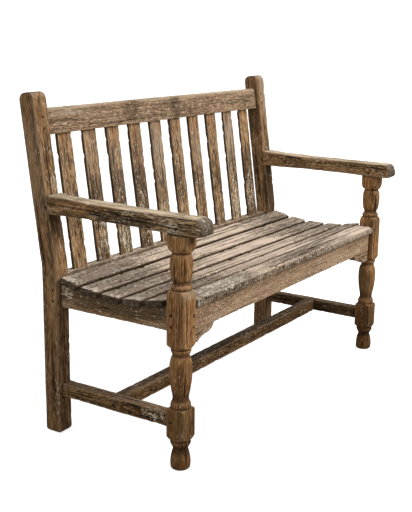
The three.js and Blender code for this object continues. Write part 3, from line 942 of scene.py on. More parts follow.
class Sketch:
    """Short ways to add nodes to a node tree."""

    def __init__(self, tree: bpy.types.NodeTree) -> None:
        """Takes the tree to draw in."""
        self.tree = tree

    @classmethod
    def blank(cls, owner: bpy.types.Material | bpy.types.World) -> "Sketch":
        """Starts on the emptied node tree of a material or a world.

        Args:
            owner: The material or world.

        Returns:
            The sketch.
        """
        owner.use_nodes = True
        owner.node_tree.nodes.clear()
        return cls(owner.node_tree)

    def add(self, kind: str, values: dict | None = None, **settings: object) -> bpy.types.Node:
        """Adds a node.

        Args:
            kind: The node's type.
            values: A value or a link for some of its inputs, by name or number.
            settings: Its properties by name.

        Returns:
            The new node.
        """
        node = self.tree.nodes.new(kind)
        for name, value in settings.items():
            setattr(node, name, value)
        for name, value in (values or {}).items():
            self.feed(node.inputs[name], value)
        return node

    def feed(self, socket: Socket, value: object) -> None:
        """Links a socket to another, or sets its value.

        Args:
            socket: The input.
            value: An output to link, or a value.
        """
        if isinstance(value, Socket):
            self.tree.links.new(value, socket)
        else:
            socket.default_value = value

    def maths(self, operation: str, first: object, second: object) -> Socket:
        """Works out one value from two, with the Math node's operation of that name."""
        return self.add("ShaderNodeMath", {0: first, 1: second}, operation=operation).outputs[0]

    def times(self, first: object, second: object) -> Socket:
        """The product of two values."""
        return self.maths("MULTIPLY", first, second)

    def plus(self, first: object, second: object) -> Socket:
        """The sum of two values."""
        return self.maths("ADD", first, second)

    def minus(self, first: object, second: object) -> Socket:
        """The first value less the second."""
        return self.maths("SUBTRACT", first, second)

    def most(self, first: object, second: object) -> Socket:
        """The larger of two values."""
        return self.maths("MAXIMUM", first, second)

    def step(self, value: object, low: object, high: object) -> Socket:
        """A smooth rise from 0 at the low value to 1 at the high one."""
        values = {"Value": value, "From Min": low, "From Max": high}
        return self.add("ShaderNodeMapRange", values, interpolation_type="SMOOTHSTEP").outputs[0]

    def blend(self, share: object, first: object, second: object, kind: str = "MIX") -> Socket:
        """A mix of two colours, with this share of the second."""
        values = {0: share, 6: first, 7: second}
        return self.add("ShaderNodeMix", values, data_type="RGBA", blend_type=kind).outputs[2]

    def stretch(self, vector: object, scale: object) -> Socket:
        """Coordinates scaled by a number for each axis."""
        return self.add("ShaderNodeVectorMath", {0: vector, 1: scale}, operation="MULTIPLY").outputs[0]

    def noise(
        self, vector: object, scale: object, detail: float = 2.0, rough: float = 0.5, bend: float = 0.0
    ) -> Socket:
        """Noise from 0 to 1.

        Args:
            vector: The coordinates.
            scale: Their scale along each axis.
            detail: Octaves of detail.
            rough: Strength of the finer octaves.
            bend: How far the noise bends itself.

        Returns:
            The noise.
        """
        values = {"Vector": self.stretch(vector, scale), "Scale": 1.0, "Detail": detail}
        return self.add("ShaderNodeTexNoise", {**values, "Roughness": rough, "Distortion": bend}).outputs[0]

    def channels(self, vector: Socket) -> list[Socket]:
        """The three channels of a vector."""
        return list(self.add("ShaderNodeSeparateXYZ", {0: vector}).outputs)

    def mask(self, name: str) -> list[Socket]:
        """The three channels of a mask that the mesh carries."""
        source = self.add("ShaderNodeAttribute", attribute_name=name)
        return self.channels(source.outputs["Vector"])

    def upward(self, name: str) -> Socket:
        """The Z of the surface's position or normal."""
        return self.channels(self.add("ShaderNodeNewGeometry").outputs[name])[2]


# Sockets of the effects that take a vector or a colour; all others take a value
VECTORS = ("Grain", "Fibre Scale", "Fleck Scale", "Scale")
COLOURS = ("Color", "Dark", "Body", "Light", "Silver", "Patch", "Worn", "Dirt", "End", "Damp", "Crust")


def socket_kind(name: str) -> str:
    """The kind of socket that an effect has under a name: a vector, a colour or a value."""
    colour_or_value = "NodeSocketColor" if name in COLOURS else "NodeSocketFloat"
    return "NodeSocketVector" if name in VECTORS else colour_or_value


class Effect:
    """A surface effect that several finishes share, built once as a node group."""

    name = ""
    inlets: tuple[str, ...] = ()
    outlets: tuple[str, ...] = ("Color",)

    def draw(self, sketch: Sketch, inlet: dict[str, Socket]) -> tuple:
        """Draws the effect's nodes; each effect has its own."""
        raise NotImplementedError

    def group(self) -> bpy.types.NodeTree:
        """The effect's node group.

        Returns:
            The group, built on first use.
        """
        found = bpy.data.node_groups.get(self.name)
        if found:
            return found
        tree = bpy.data.node_groups.new(self.name, "ShaderNodeTree")
        for way, names in (("INPUT", self.inlets), ("OUTPUT", self.outlets)):
            for name in names:
                tree.interface.new_socket(name=name, in_out=way, socket_type=socket_kind(name))
        sketch = Sketch(tree)
        entry = sketch.add("NodeGroupInput")
        inlet = {name: entry.outputs[name] for name in self.inlets}
        sketch.add("NodeGroupOutput", dict(zip(self.outlets, self.draw(sketch, inlet))))
        return tree

    def use(self, sketch: Sketch, values: dict[str, object]) -> bpy.types.Node:
        """Places the effect in a material.

        Args:
            sketch: The material's nodes.
            values: A value or link for each inlet; those for other effects are left out.

        Returns:
            The group node.
        """
        own = {name: values[name] for name in self.inlets}
        return sketch.add("ShaderNodeGroup", own, node_tree=self.group())


class TimberGrain(Effect):
    """Growth rings, fibres and pores."""

    name = "timber_grain"
    inlets = (
        "Grain", "Fibre Scale", "Fleck Scale", "Ring Scale", "Contrast", "Pits", "Ribs", "Rib Scale",
        "Dark", "Body", "Light",
    )
    outlets = ("Color", "Height")

    def draw(self, sketch: Sketch, inlet: dict[str, Socket]) -> tuple:
        """Draws the grain.

        Args:
            sketch: The group's nodes.
            inlet: The group's inputs.

        Returns:
            The colour and the height of the fibres.
        """
        grain = inlet["Grain"]
        fibre = sketch.stretch(grain, inlet["Fibre Scale"])
        streak = sketch.noise(fibre, (1.0, 1.0, 1.0), 5.0, 0.62, 0.3)
        fine = sketch.noise(fibre, (3.1, 3.1, 3.1), 3.0, 0.6)
        broad = sketch.noise(grain, (4.5, 38.0, 38.0), 2.0, 0.5, 0.4)
        fleck = sketch.noise(grain, inlet["Fleck Scale"], 2.5, 0.55, 0.5)
        rings = sketch.add("ShaderNodeTexWave", {
            "Vector": sketch.stretch(grain, (0.35, 1.0, 1.0)), "Scale": inlet["Ring Scale"],
            "Distortion": 3.2, "Detail": 2.0, "Detail Scale": 0.25,
        }, wave_type="RINGS", rings_direction="X")
        ribs = sketch.add("ShaderNodeTexWave", {
            "Vector": grain, "Scale": inlet["Rib Scale"],
            "Distortion": 2.2, "Detail": 2.0, "Detail Scale": 1.2,
        }, wave_type="BANDS", bands_direction="X")
        tone = sketch.plus(sketch.times(streak, 0.5), sketch.times(rings.outputs["Fac"], 0.22))
        tone = sketch.plus(tone, sketch.times(broad, 0.38))
        shade = sketch.blend(sketch.step(tone, 0.36, 0.74), inlet["Dark"], inlet["Body"])
        light = sketch.step(sketch.plus(fine, sketch.times(broad, 0.3)), 0.58, 0.84)
        shade = sketch.blend(sketch.times(light, inlet["Contrast"]), shade, inlet["Light"])
        raised = sketch.times(sketch.step(fleck, 0.53, 0.66), inlet["Contrast"])
        shade = sketch.blend(raised, shade, inlet["Light"])
        pores = sketch.times(sketch.step(fleck, 0.47, 0.33), inlet["Pits"])
        shade = sketch.blend(pores, shade, inlet["Dark"], "MULTIPLY")
        gap = sketch.times(sketch.step(ribs.outputs["Fac"], 0.6, 0.15), inlet["Ribs"])
        shade = sketch.blend(gap, shade, inlet["Dark"], "MULTIPLY")
        return shade, sketch.plus(sketch.times(streak, 0.4), sketch.times(fleck, 0.6))


class SunBleach(Effect):
    """Silver wood on the faces that look at the sky."""

    name = "sun_bleach"
    inlets = ("Color", "Silver", "Amount", "Grain", "Pale")

    def draw(self, sketch: Sketch, inlet: dict[str, Socket]) -> tuple:
        """Draws the bleaching.

        Args:
            sketch: The group's nodes.
            inlet: The group's inputs.

        Returns:
            The colour.
        """
        sky = sketch.step(sketch.upward("Normal"), 0.1, 0.95)
        cloud = sketch.noise(inlet["Grain"], (7.0, 45.0, 45.0), 4.0, 0.6)
        share = sketch.plus(sketch.times(sky, inlet["Amount"]), inlet["Pale"])
        share = sketch.times(share, sketch.step(cloud, 0.25, 0.62))
        return (sketch.blend(share, inlet["Color"], inlet["Silver"]),)


class BrokenPatch(Effect):
    """A second colour where a mask is strong, broken up along the grain."""

    name = "broken_patch"
    inlets = ("Color", "Patch", "Mask", "Opacity", "Grain", "Scale")

    def draw(self, sketch: Sketch, inlet: dict[str, Socket]) -> tuple:
        """Draws the patch.

        Args:
            sketch: The group's nodes.
            inlet: The group's inputs.

        Returns:
            The colour.
        """
        cloud = sketch.noise(inlet["Grain"], inlet["Scale"], 4.0, 0.65)
        level = sketch.minus(0.78, sketch.times(inlet["Mask"], 0.38))
        share = sketch.step(cloud, sketch.minus(level, 0.09), sketch.plus(level, 0.09))
        share = sketch.times(share, sketch.step(inlet["Mask"], 0.0, 0.25))
        share = sketch.times(share, inlet["Opacity"])
        tinted = sketch.blend(0.4, inlet["Patch"], inlet["Color"])
        return (sketch.blend(share, inlet["Color"], tinted),)


class WornArris(Effect):
    """Edges rubbed back to fresher wood."""

    name = "worn_arris"
    inlets = ("Color", "Worn", "Arris", "Amount", "Grain")

    def draw(self, sketch: Sketch, inlet: dict[str, Socket]) -> tuple:
        """Draws the worn edges.

        Args:
            sketch: The group's nodes.
            inlet: The group's inputs.

        Returns:
            The colour.
        """
        rub = sketch.noise(inlet["Grain"], (22.0, 90.0, 90.0), 3.0, 0.6)
        rubbed = sketch.times(inlet["Arris"], sketch.plus(rub, 0.35))
        share = sketch.times(sketch.step(rubbed, 0.35, 0.85), inlet["Amount"])
        return (sketch.blend(share, inlet["Color"], inlet["Worn"]),)


class DirtAndShade(Effect):
    """Dirt in cracks and between the ridges of the grain, darker hollows, and painted shade on shaded faces
    and in necks.
    """

    name = "deep_dirt"
    inlets = ("Color", "Dirt", "Hollow", "Relief", "Amount")

    def draw(self, sketch: Sketch, inlet: dict[str, Socket]) -> tuple:
        """Draws the dirt and the painted shade."""
        valley = sketch.times(sketch.step(inlet["Relief"], 0.5, 0.22), inlet["Amount"])
        return (sketch.blend(sketch.most(valley, inlet["Hollow"]), inlet["Color"], inlet["Dirt"]),)


class EndGrain(Effect):
    """The dark, porous look of sawn ends."""

    name = "end_grain"
    inlets = ("Color", "End", "Mask", "Grain")

    def draw(self, sketch: Sketch, inlet: dict[str, Socket]) -> tuple:
        """Draws the end grain.

        Args:
            sketch: The group's nodes.
            inlet: The group's inputs.

        Returns:
            The colour.
        """
        pores = sketch.noise(inlet["Grain"], (60.0, 420.0, 420.0), 3.0, 0.7)
        lit = sketch.blend(0.45, inlet["End"], inlet["Color"])
        shade = sketch.blend(sketch.step(pores, 0.45, 0.7), inlet["End"], lit)
        share = sketch.step(inlet["Mask"], 0.2, 0.9)
        return (sketch.blend(sketch.times(share, 0.92), inlet["Color"], shade),)


class GroundShade(Effect):
    """Painted shade that darkens the wood towards the floor."""

    name = "ground_damp"
    inlets = ("Color", "Damp", "Amount")

    def draw(self, sketch: Sketch, inlet: dict[str, Socket]) -> tuple:
        """Draws the painted shade near the floor."""
        share = sketch.times(sketch.step(sketch.upward("Position"), 0.42, 0.02), inlet["Amount"])
        return (sketch.blend(share, inlet["Color"], inlet["Damp"], "MULTIPLY"),)


class LichenCrust(Effect):
    """Pale crusts of lichen, thickest where the mask says."""

    name = "lichen_crust"
    inlets = ("Color", "Crust", "Mask", "Cover", "Grain", "Relief")
    outlets = ("Color", "Height")

    def draw(self, sketch: Sketch, inlet: dict[str, Socket]) -> tuple:
        """Draws the lichen.

        Args:
            sketch: The group's nodes.
            inlet: The group's inputs.

        Returns:
            The colour and the height of the crust.
        """
        fleck = sketch.noise(inlet["Grain"], (85.0, 230.0, 230.0), 3.0, 0.6, 0.5)
        drift = sketch.noise(inlet["Grain"], (14.0, 30.0, 30.0), 2.0, 0.5)
        dense = sketch.times(sketch.plus(inlet["Mask"], inlet["Cover"]), 0.17)
        dense = sketch.plus(dense, sketch.times(sketch.minus(drift, 0.5), 0.3))
        dense = sketch.plus(dense, sketch.times(sketch.minus(inlet["Relief"], 0.5), 0.12))
        level = sketch.minus(0.68, dense)
        crust = sketch.step(fleck, level, sketch.plus(level, 0.05))
        spots = sketch.noise(inlet["Grain"], (500.0, 700.0, 700.0), 2.0)
        shade = sketch.blend(sketch.step(spots, 0.2, 0.55), inlet["Color"], inlet["Crust"])
        return sketch.blend(sketch.times(crust, 0.95), inlet["Color"], shade), crust


# How finely the broken patches break up, along and across the grain
BARE_SCALE = (20.0, 150.0, 150.0)
FILM_SCALE = (60.0, 140.0, 140.0)
STAIN_AND_SHADE_SCALE = (40.0, 190.0, 190.0)


@dataclass(frozen=True)
class TimberFinish:
    """The look of one slot's timber. Colours are sRGB; fibre sizes are metres."""

    slot: str
    dark: Colour
    body: Colour
    pale: Colour
    silver: Colour = (186, 172, 154)
    bare: Colour = (164, 104, 58)
    worn: Colour = (176, 148, 116)
    # Stain colour, also painted as shadow where a stain patch stands for one
    stain: Colour = (36, 28, 20)
    # Colour of dirt in cracks and grain, also used as painted shade on shaded faces and in necks
    dirt: Colour = (34, 25, 17)
    end: Colour = (74, 62, 50)
    crust: Colour = (226, 215, 190)
    film: Colour = (112, 104, 62)
    # Colour of the painted shade that darkens the wood towards the floor
    ground_shade_colour: Colour = (164, 156, 140)
    fibre_length: float = 0.06
    fibre_width: float = 0.0034
    fleck_length: float = 0.018
    fleck_width: float = 0.0048
    ring_spacing: float = 0.006
    contrast: float = 0.7
    pits: float = 0.6
    ribs: float = 0.0
    rib_spacing: float = 0.0125
    # How strong the painted shade near the floor is
    damp: float = 0.2
    bleach: float = 0.5
    arris: float = 0.5
    dirtiness: float = 0.5
    lichen: float = 0.02
    roughness: tuple[float, float] = (0.78, 0.96)
    specular: float = 0.22
    bump: float = 0.55
    bump_reach: float = 0.0012
    crust_share: float = 0.5

    def material(self) -> bpy.types.Material:
        """Builds the finish as a material.

        Returns:
            The material, named for its slot.
        """
        made = bpy.data.materials.new(self.slot)
        sketch = Sketch.blank(made)
        grain = sketch.add("ShaderNodeAttribute", attribute_name=GRAIN).outputs["Vector"]
        # The wear mask's middle channel holds dirt and painted shade
        arris, hollow, end = sketch.mask(WEAR)
        lichen, stain, bare = sketch.mask(WEATHER)
        algae, pale, relief = sketch.mask(TINT)
        fibre, fleck = 1 / self.fibre_width, 1 / self.fleck_width
        wood = TimberGrain().use(sketch, {
            "Grain": grain, "Contrast": self.contrast, "Pits": self.pits, "Ribs": self.ribs,
            "Fibre Scale": (1 / self.fibre_length, fibre, fibre),
            "Fleck Scale": (1 / self.fleck_length, fleck, fleck),
            "Ring Scale": 0.1 * math.pi / self.ring_spacing,
            "Rib Scale": 0.1 * math.pi / self.rib_spacing,
            "Dark": srgb(self.dark), "Body": srgb(self.body), "Light": srgb(self.pale),
        })
        colour = wood.outputs["Color"]
        broken = BrokenPatch()
        shared = {"Grain": grain, "Relief": relief}
        for effect, values in (
            (SunBleach(), {"Silver": srgb(self.silver), "Amount": self.bleach, "Pale": pale}),
            (WornArris(), {"Worn": srgb(self.worn), "Arris": arris, "Amount": self.arris}),
            (broken, {"Patch": srgb(self.bare), "Mask": bare, "Opacity": 0.9, "Scale": BARE_SCALE}),
            (broken, {"Patch": srgb(self.film), "Mask": algae, "Opacity": 0.75, "Scale": FILM_SCALE}),
            # Stains, and painted shadow where a stain patch stands for one
            (broken, {"Patch": srgb(self.stain), "Mask": stain, "Opacity": 0.95, "Scale": STAIN_AND_SHADE_SCALE}),
            (EndGrain(), {"End": srgb(self.end), "Mask": end}),
            # Dirt, with painted shade on shaded faces and in the turnings' necks
            (DirtAndShade(), {"Dirt": srgb(self.dirt), "Hollow": hollow, "Amount": self.dirtiness}),
            # Painted shade towards the floor
            (GroundShade(), {"Damp": srgb(self.ground_shade_colour), "Amount": self.damp}),
        ):
            colour = effect.use(sketch, {**shared, "Color": colour, **values}).outputs[0]
        crusted = LichenCrust().use(sketch, {
            **shared, "Color": colour, "Crust": srgb(self.crust), "Cover": self.lichen,
            "Mask": sketch.minus(lichen, sketch.plus(end, hollow)),
        })
        self.shade(sketch, crusted, wood.outputs["Height"])
        return made

    def shade(self, sketch: Sketch, crusted: bpy.types.Node, height: Socket) -> None:
        """Puts the worked-out colour on the surface.

        Args:
            sketch: The material's nodes.
            crusted: The lichen effect, which has the final colour.
            height: Height of the fibres.
        """
        rough = {"Value": height, "To Min": self.roughness[1], "To Max": self.roughness[0]}
        raised = sketch.plus(height, sketch.times(crusted.outputs["Height"], self.crust_share))
        bump = {"Strength": self.bump, "Distance": self.bump_reach, "Height": raised}
        shader = sketch.add("ShaderNodeBsdfPrincipled", {
            "Base Color": crusted.outputs["Color"],
            "Specular IOR Level": self.specular,
            "Roughness": sketch.add("ShaderNodeMapRange", rough).outputs[0],
            "Normal": sketch.add("ShaderNodeBump", bump).outputs[0],
        })
        sketch.add("ShaderNodeOutputMaterial", {"Surface": shader.outputs[0]})


# The posts' stain colour also paints the arm's shadow on the left post
POST_FINISH = TimberFinish(
    "post_wood", dark=(80, 56, 32), body=(154, 112, 71), pale=(196, 158, 114), bleach=0.25, lichen=0.1,
    bare=(172, 120, 72), pits=0.55, damp=0.35, fleck_length=0.026, arris=0.35, stain=(56, 41, 26),
)
# The legs darken in their narrow necks and towards the floor as painted shade
LEG_FINISH = TimberFinish(
    "leg_wood", dark=(108, 70, 38), body=(165, 117, 71), pale=(204, 160, 106), silver=(190, 168, 138),
    bleach=0.25, fibre_width=0.0054, fleck_length=0.024, lichen=0.0, dirtiness=0.2,
    bare=(150, 84, 44), contrast=0.6, dirt=(40, 24, 12), pits=0.32, damp=0.75,
)
ARM_FINISH = TimberFinish(
    "arm_wood", dark=(66, 45, 25), body=(140, 100, 60), pale=(200, 164, 118), bleach=0.95, lichen=0.3,
    silver=(222, 203, 174), end=(90, 82, 72), contrast=1.1, dirtiness=0.6, fleck_length=0.012,
    bare=(172, 124, 76), pits=0.85, bump=0.9, stain=(20, 14, 9),
)
TOP_RAIL_FINISH = TimberFinish(
    "top_rail_wood", dark=(94, 69, 46), body=(144, 112, 83), pale=(200, 170, 138), bleach=0.85,
    silver=(214, 198, 174), fibre_length=0.035, fleck_length=0.022, fleck_width=0.0036, contrast=1.0,
    lichen=0.15, pits=0.5, dirtiness=0.45, stain=(58, 40, 27),
)
BACK_SLAT_FINISH = TimberFinish(
    "back_slat_wood", dark=(68, 45, 26), body=(160, 115, 72), pale=(214, 178, 132), lichen=0.2,
    contrast=0.9, dirtiness=0.6, bare=(178, 116, 66), pits=0.85, fleck_length=0.022, bump=0.7,
    stain=(40, 28, 19),
)
# The seat's dark brown for dirt also paints the shade in the gaps between slats
SEAT_SLAT_FINISH = TimberFinish(
    "seat_slat_wood", dark=(102, 76, 51), body=(224, 195, 163), pale=(248, 231, 208), bleach=0.55,
    silver=(226, 205, 184), fibre_length=0.05, fleck_length=0.0085, fleck_width=0.009,
    end=(74, 61, 42), contrast=1.25, lichen=0.2, pits=1.1, stain=(44, 33, 22),
    dirt=(58, 40, 23), crust=(232, 219, 202), ribs=0.6, arris=0.1, bump=0.9,
)
RAIL_FINISH = TimberFinish(
    "rail_wood", dark=(112, 79, 52), body=(178, 140, 104), pale=(218, 190, 158), fibre_length=0.03,
    fleck_length=0.006, fleck_width=0.0034, contrast=0.85, lichen=0.25, dirtiness=0.3, pits=0.5,
    stain=(34, 26, 13), bare=(148, 112, 66),
)
# The stretchers' stain colour also paints the shade on the right stretcher's inner face
STRETCHER_FINISH = TimberFinish(
    "stretcher_wood", dark=(60, 40, 20), body=(124, 88, 51), pale=(182, 143, 96), bleach=0.2,
    contrast=0.95, lichen=0.2, fleck_length=0.012, pits=0.8, damp=0.4, stain=(22, 17, 12),
)
BEARER_FINISH = TimberFinish(
    "bearer_wood", dark=(70, 52, 34), body=(112, 86, 58), pale=(140, 112, 80), lichen=0.0,
)
PEG_FINISH = TimberFinish(
    "peg_wood", dark=(60, 34, 20), body=(104, 64, 38), pale=(128, 84, 52), end=(72, 42, 25), lichen=0.0,
)


@dataclass
class Assembly:
    """A part of the bench that is built and dressed together."""

    finish: TimberFinish = POST_FINISH
    built: dict[str, bpy.types.Object] = field(default_factory=dict)

    def timbers(self) -> list[Timber]:
        """The pieces of this part; each part has its own."""
        raise NotImplementedError

    def finish_of(self, node: str) -> TimberFinish:
        """The finish of one piece, the same for all unless a part says otherwise."""
        return self.finish

    def build(self) -> None:
        """Builds each piece's mesh."""
        self.built = {timber.node: timber.build() for timber in self.timbers()}

    def dress(self, materials: dict[str, bpy.types.Material]) -> None:
        """Gives each piece its finish.

        Args:
            materials: The materials by slot.
        """
        for node, piece in self.built.items():
            slot = self.finish_of(node).slot
            piece.data.materials.append(materials[slot])


def leg_to_post(side: Side, step: float) -> np.ndarray:
    """Stations along a piece that runs from a front leg back to the rear post."""
    leg_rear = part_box(side.of("front_leg"))[1].y
    return stations_between(leg_rear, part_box(side.of("rear_post"))[0].y, step)


@dataclass
class RearPosts(Assembly):
    """The two rear posts: plumb to the knee, then raked back, round on top."""

    knee: float = 0.485
    depth: float = 0.052
    top_radius: float = 0.020
    foot_round: float = 0.009
    crown_reach: float = 0.001
    shoulder_round: float = 0.004
    step: float = 0.004

    def path(self, node: str) -> BentPath:
        """The grain of a post.

        Args:
            node: The post's name.

        Returns:
            Its bent path, from the floor to the crown.
        """
        low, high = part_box(node)
        lean = back_lean()
        crown = high.z - self.knee - self.top_radius * (1 - math.sin(lean))
        reach = self.knee + crown / math.cos(lean) + self.top_radius
        return BentPath(low.y, self.knee, lean, reach)

    def timbers(self) -> list[Timber]:
        """Both posts."""
        return [self.post(side) for side in Side]

    def post(self, side: Side) -> Plank:
        """One post.

        Args:
            side: Left or right.

        Returns:
            The piece.
        """
        node = side.of("rear_post")
        path = self.path(node)
        low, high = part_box(node)
        stations = stations_between(0.0, path.reach, self.step, self.foot_round)
        crown = path.reach - self.top_radius * (1 - np.cos(np.linspace(0.0, 0.5, 9) * np.pi))
        stations = np.concatenate([stations[stations < crown[-1] - self.crown_reach], crown[::-1]])
        fall = round_over(path.reach - stations, self.top_radius)
        foot = round_over(stations, self.foot_round)
        shoulder = round_over(path.reach - stations, self.shoulder_round)
        outer, inner = side.faces()
        cracks = (
            Crack(outer, 0.24, 0.46, 0.72, 0.0030, 0.006),
            Crack(outer, 0.62, 0.05, 0.36),
            Crack(Face.BOTTOM, 0.45, 0.62, 0.9),
            Crack(Face.BOTTOM, 0.6, 0.1, 0.42),
            *scattered_cracks(31 + side.value, (inner, Face.TOP), 4, 0.2),
        )
        return Plank(
            node, path, stations,
            exposure=Exposure(ridge=0.0006, chips=0.006, arris_spread=0.005),
            cracks=cracks,
            patches=POST_PATCHES[side],
            pegs=peg_spots(node, path),
            seed=3 + side.value,
            left=low.x + foot + shoulder,
            right=high.x - foot - shoulder,
            bottom=fall + foot,
            top=self.depth - fall - foot,
            radii=(0.0025,) * 4,
            # Painted shade on the post's rear face
            face_shade=(0.0, 0.25, 0.0, 0.0),
            end_round=0.0005,
        )


def back_lean() -> float:
    """How far the back leans, from the section of a back slat."""
    return math.pi / 2 - broad_tilt("back_slat_05")


POST_PATCHES = {
    Side.LEFT: (
        Patch(BARE, (-0.607, 0.225, 0.78), (0.016, 0.05, 0.16), 0.6),
        Patch(BARE, (-0.61, 0.25, 0.76), (0.012, 0.08, 0.2), 0.55),
        Patch(PALE, (-0.61, 0.25, 0.76), (0.012, 0.08, 0.2), 0.2),
        Patch(LICHEN, (-0.575, 0.212, 0.71), (0.025, 0.02, 0.05), 0.6),
        Patch(LICHEN, (-0.585, 0.23, 0.83), (0.035, 0.03, 0.1), 0.2),
        Patch(STAIN, (-0.58, 0.215, 0.76), (0.035, 0.03, 0.1), 0.65),
        # Painted shadow of the arm on the post's front, just below the arm
        Patch(STAIN, (-0.585, 0.2, 0.6), (0.04, 0.03, 0.06), 1.0),
        Patch(STAIN, (-0.585, 0.19, 0.3), (0.04, 0.03, 0.3), 0.55),
        Patch(BARE, (-0.605, 0.2, 0.03), (0.03, 0.04, 0.04), 0.6),
        Patch(LICHEN, (-0.605, 0.185, 0.13), (0.02, 0.02, 0.06), 0.5),
    ),
    Side.RIGHT: (
        Patch(LICHEN, (0.59, 0.212, 0.7), (0.02, 0.02, 0.03), 0.9),
        Patch(STAIN, (0.558, 0.23, 0.7), (0.012, 0.08, 0.3), 0.6),
        Patch(STAIN, (0.585, 0.18, 0.56), (0.06, 0.06, 0.2), 1.3),
        Patch(STAIN, (0.552, 0.24, 0.84), (0.018, 0.1, 0.25), 1.0),
        Patch(PALE, (0.595, 0.23, 0.9), (0.03, 0.06, 0.14), 0.6),
        Patch(ALGAE, (0.585, 0.19, 0.6), (0.05, 0.05, 0.3), 0.9),
    ),
}


@dataclass
class FrontLegs(Assembly):
    """The two front legs, turned between square blocks."""

    finish: TimberFinish = LEG_FINISH
    foot_turning: float = 0.092
    low_block: float = 0.074
    vase_turning: float = 0.174
    seat_block: float = 0.140
    upper_turning: float = 0.108
    step: float = 0.0012
    block_share: float = 1.45
    fine_step: float = 0.0004
    smoothing: float = 2.0
    window: int = 8
    grooves: tuple[Triple, ...] = (
        (0.0800, 0.0024, 0.0024), (0.1697, 0.0020, 0.0020), (0.3312, 0.0026, 0.0024),
        (0.3145, 0.0012, 0.0030), (0.4885, 0.0022, 0.0024), (0.5832, 0.0012, 0.0024),
    )
    foot_shares: Shares = (
        (0, 0.8), (0.03, 0.94), (0.18, 0.99), (0.34, 0.955), (0.49, 0.856), (0.6, 0.74), (0.64, 0.75),
        (0.71, 0.87), (0.77, 0.99), (0.83, 1.02), (0.88, 1.04), (0.93, 1.2), (0.985, 1.4), (1, 1.45),
    )
    vase_shares: Shares = (
        (-0.01, 1.45), (0.0, 1.38), (0.015, 1.25), (0.022, 1.05), (0.03, 0.97), (0.04, 0.99), (0.06, 1.01),
        (0.085, 1.0), (0.105, 0.965), (0.125, 0.88), (0.15, 0.81), (0.182, 0.787), (0.241, 0.835),
        (0.309, 0.924), (0.439, 1.044), (0.567, 1.1), (0.695, 1.098), (0.755, 1.04), (0.805, 0.955),
        (0.83, 0.88), (0.855, 0.85), (0.88, 0.865), (0.905, 0.945), (0.93, 1.01), (0.955, 1.02),
        (0.963, 1.03), (0.983, 1.13), (1.0, 1.28), (1.02, 1.45),
    )
    upper_shares: Shares = (
        (-0.07, 1.45), (0.0, 1.27), (0.04, 1.17), (0.07, 1.06), (0.093, 0.99), (0.13, 1.03), (0.167, 0.99),
        (0.19, 0.89), (0.213, 0.81), (0.25, 0.78), (0.278, 0.79), (0.296, 0.85), (0.324, 0.92),
        (0.36, 0.955), (0.472, 1.02), (0.617, 1.075), (0.813, 1.045), (0.866, 1.0), (0.917, 0.94),
        (0.954, 0.88), (0.972, 0.93), (1.0, 1.07), (1.046, 1.2), (1.09, 1.29), (1.14, 1.37), (1.18, 1.45),
    )

    def profile(self, stations: np.ndarray, half: float, height: float) -> np.ndarray:
        """The turned radius at each station.

        Args:
            stations: Heights above the floor.
            half: Half the leg's square stock.
            height: Height of the leg.

        Returns:
            The radii, past the block's corners where the leg is square.
        """
        seat_block_base = self.foot_turning + self.low_block + self.vase_turning
        bases = (
            (0.0, self.foot_turning, self.foot_shares),
            (self.foot_turning + self.low_block, self.vase_turning, self.vase_shares),
            (seat_block_base + self.seat_block, self.upper_turning, self.upper_shares),
        )
        rises, radii = [], []
        for base, reach, shares in bases:
            rises += [base + rise * reach for rise, _ in shares]
            radii += [radius for _, radius in shares]
        rises.append(height)
        radii.append(self.block_share)
        fine = np.arange(0.0, height, self.fine_step)
        sharp = half * np.interp(fine, rises, radii)
        around = np.arange(-self.window, self.window + 1)
        window = np.exp(-0.5 * (around / self.smoothing) ** 2)
        padded = np.pad(sharp, self.window, mode="edge")
        smooth = np.convolve(padded, window / window.sum(), mode="valid")
        for rise, depth, reach in self.grooves:
            smooth -= depth * np.exp(-(((fine - rise) / reach) ** 2))
        return np.interp(stations, fine, smooth)

    def timbers(self) -> list[Timber]:
        """Both legs."""
        return [self.leg(side) for side in Side]

    def leg(self, side: Side) -> Turning:
        """One leg.

        Args:
            side: Left or right.

        Returns:
            The piece.
        """
        node = side.of("front_leg")
        low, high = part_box(node)
        half = (high.x - low.x) / 2
        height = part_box(side.of("arm"))[0].z
        middle = (low + high) / 2
        path = StraightPath((0, 0, 1), (1, 0, 0), (0, 1, 0), (middle.x, middle.y, 0.0))
        stations = stations_between(0.0, height, self.step)
        cracks = (
            Crack(Face.BOTTOM, 0.2, 0.55, 0.76, 0.0022, 0.005),
            Crack(Face.BOTTOM, 0.62, 0.54, 0.7, 0.0018, 0.003),
            Crack(Face.LEFT, 0.8, 0.54, 0.74, 0.0018, 0.003),
            Crack(Face.BOTTOM, 0.1, 0.8, 0.91, 0.0018, 0.003),
            Crack(Face.BOTTOM, 0.7, 0.3, 0.42, 0.0018, 0.002),
            *scattered_cracks(57 + side.value, Face, 3, 0.12),
        )
        return Turning(
            node, path, stations,
            exposure=Exposure(wave=0.0006, ridge_width=0.0048),
            cracks=cracks,
            patches=LEG_PATCHES[side],
            pegs=peg_spots(node, path),
            seed=17 + side.value,
            radius=self.profile(stations, half, height),
            half=half,
        )


